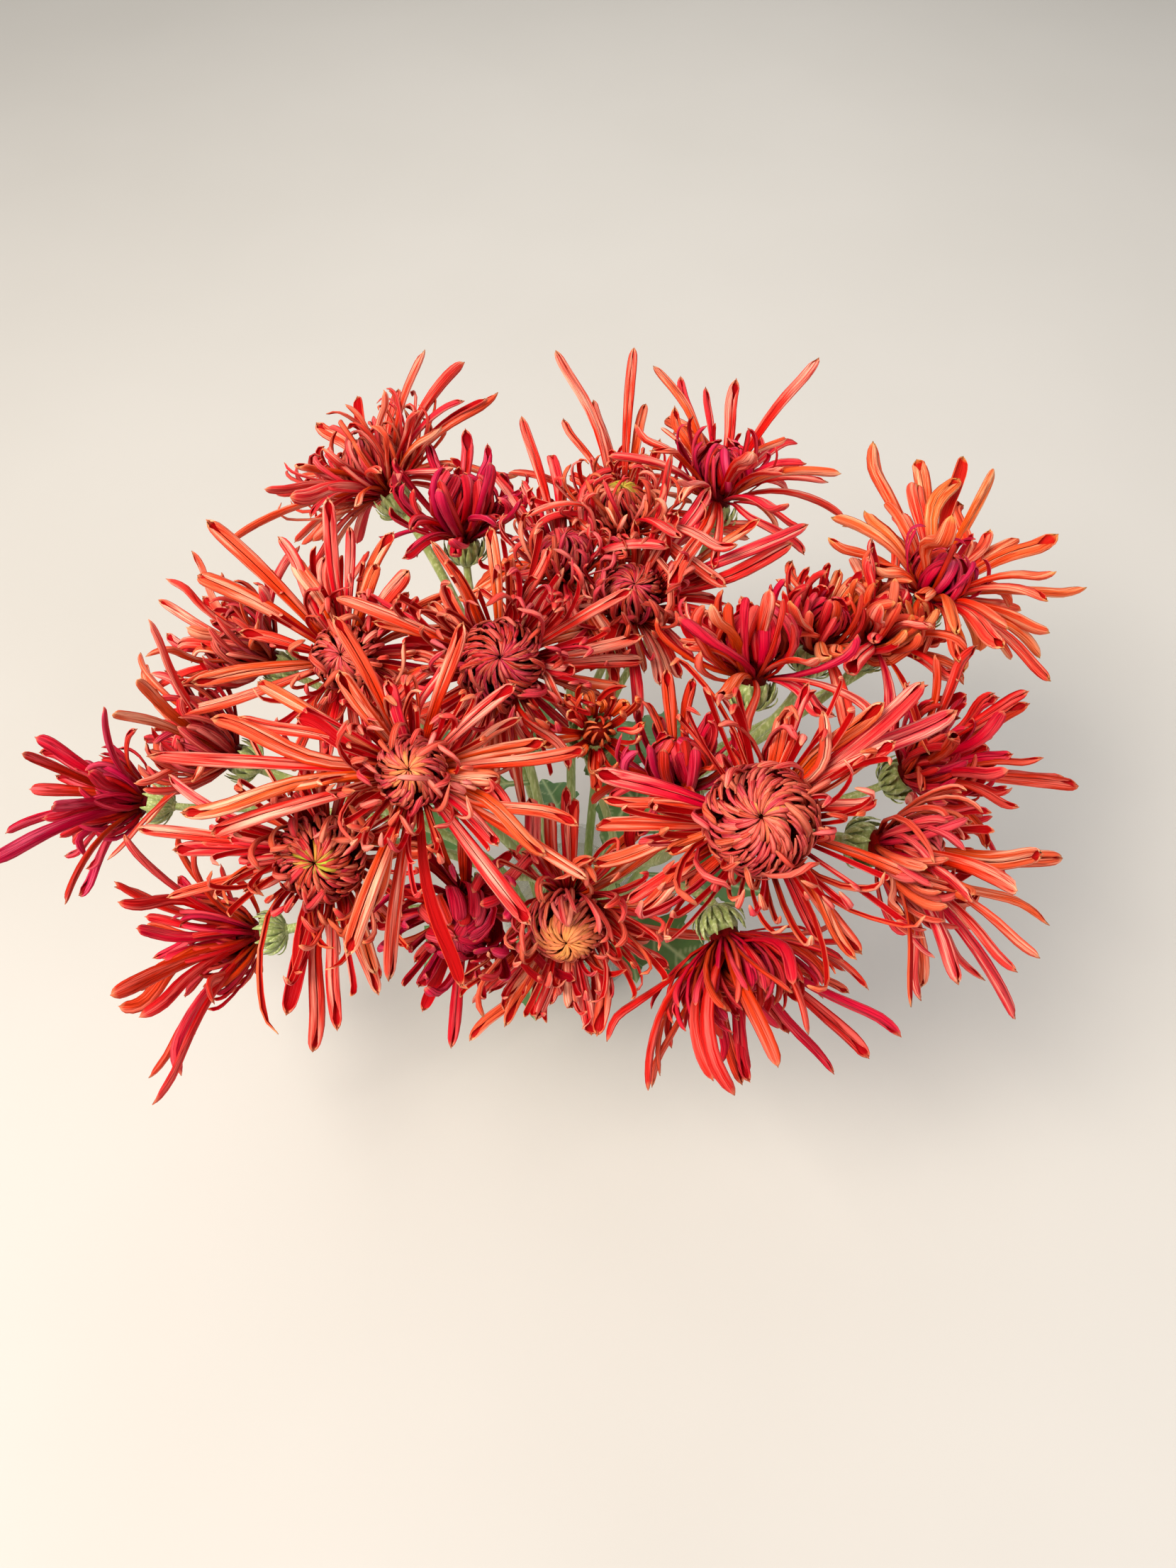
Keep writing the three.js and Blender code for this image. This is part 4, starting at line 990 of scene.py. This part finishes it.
for number, form in enumerate(FORM_OF):
    chance = np.random.default_rng(100 + number)
    rays, hooks, core, wraps = FORMS[form]
    longs = long_florets(number, chance, *rays)
    shorts = [hooked_florets(number, chance, *hooks), core_florets(number, chance, *core)]
    shorts.append(receptacle(number))
    if wraps:
        shorts.append(wrapping_florets(number, chance, wraps))
    for kind, blocks in (("long", longs), ("short", shorts)):
        colouring = next((name for name, heads in COLOURINGS[kind].items() if number + 1 in heads), "coral")
        points, faces = joined([block[:2] for block in blocks])
        marks, grain = (np.concatenate([block[part] for block in blocks]) for part in (2, 3))
        piece = add_piece(f"{kind}_florets_{number + 1:02d}", points, faces, skins[colouring],
                          {"floret": marks, "grain": grain})
        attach(piece, "root")
        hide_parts(f"flower_head_{number + 1:02d}")
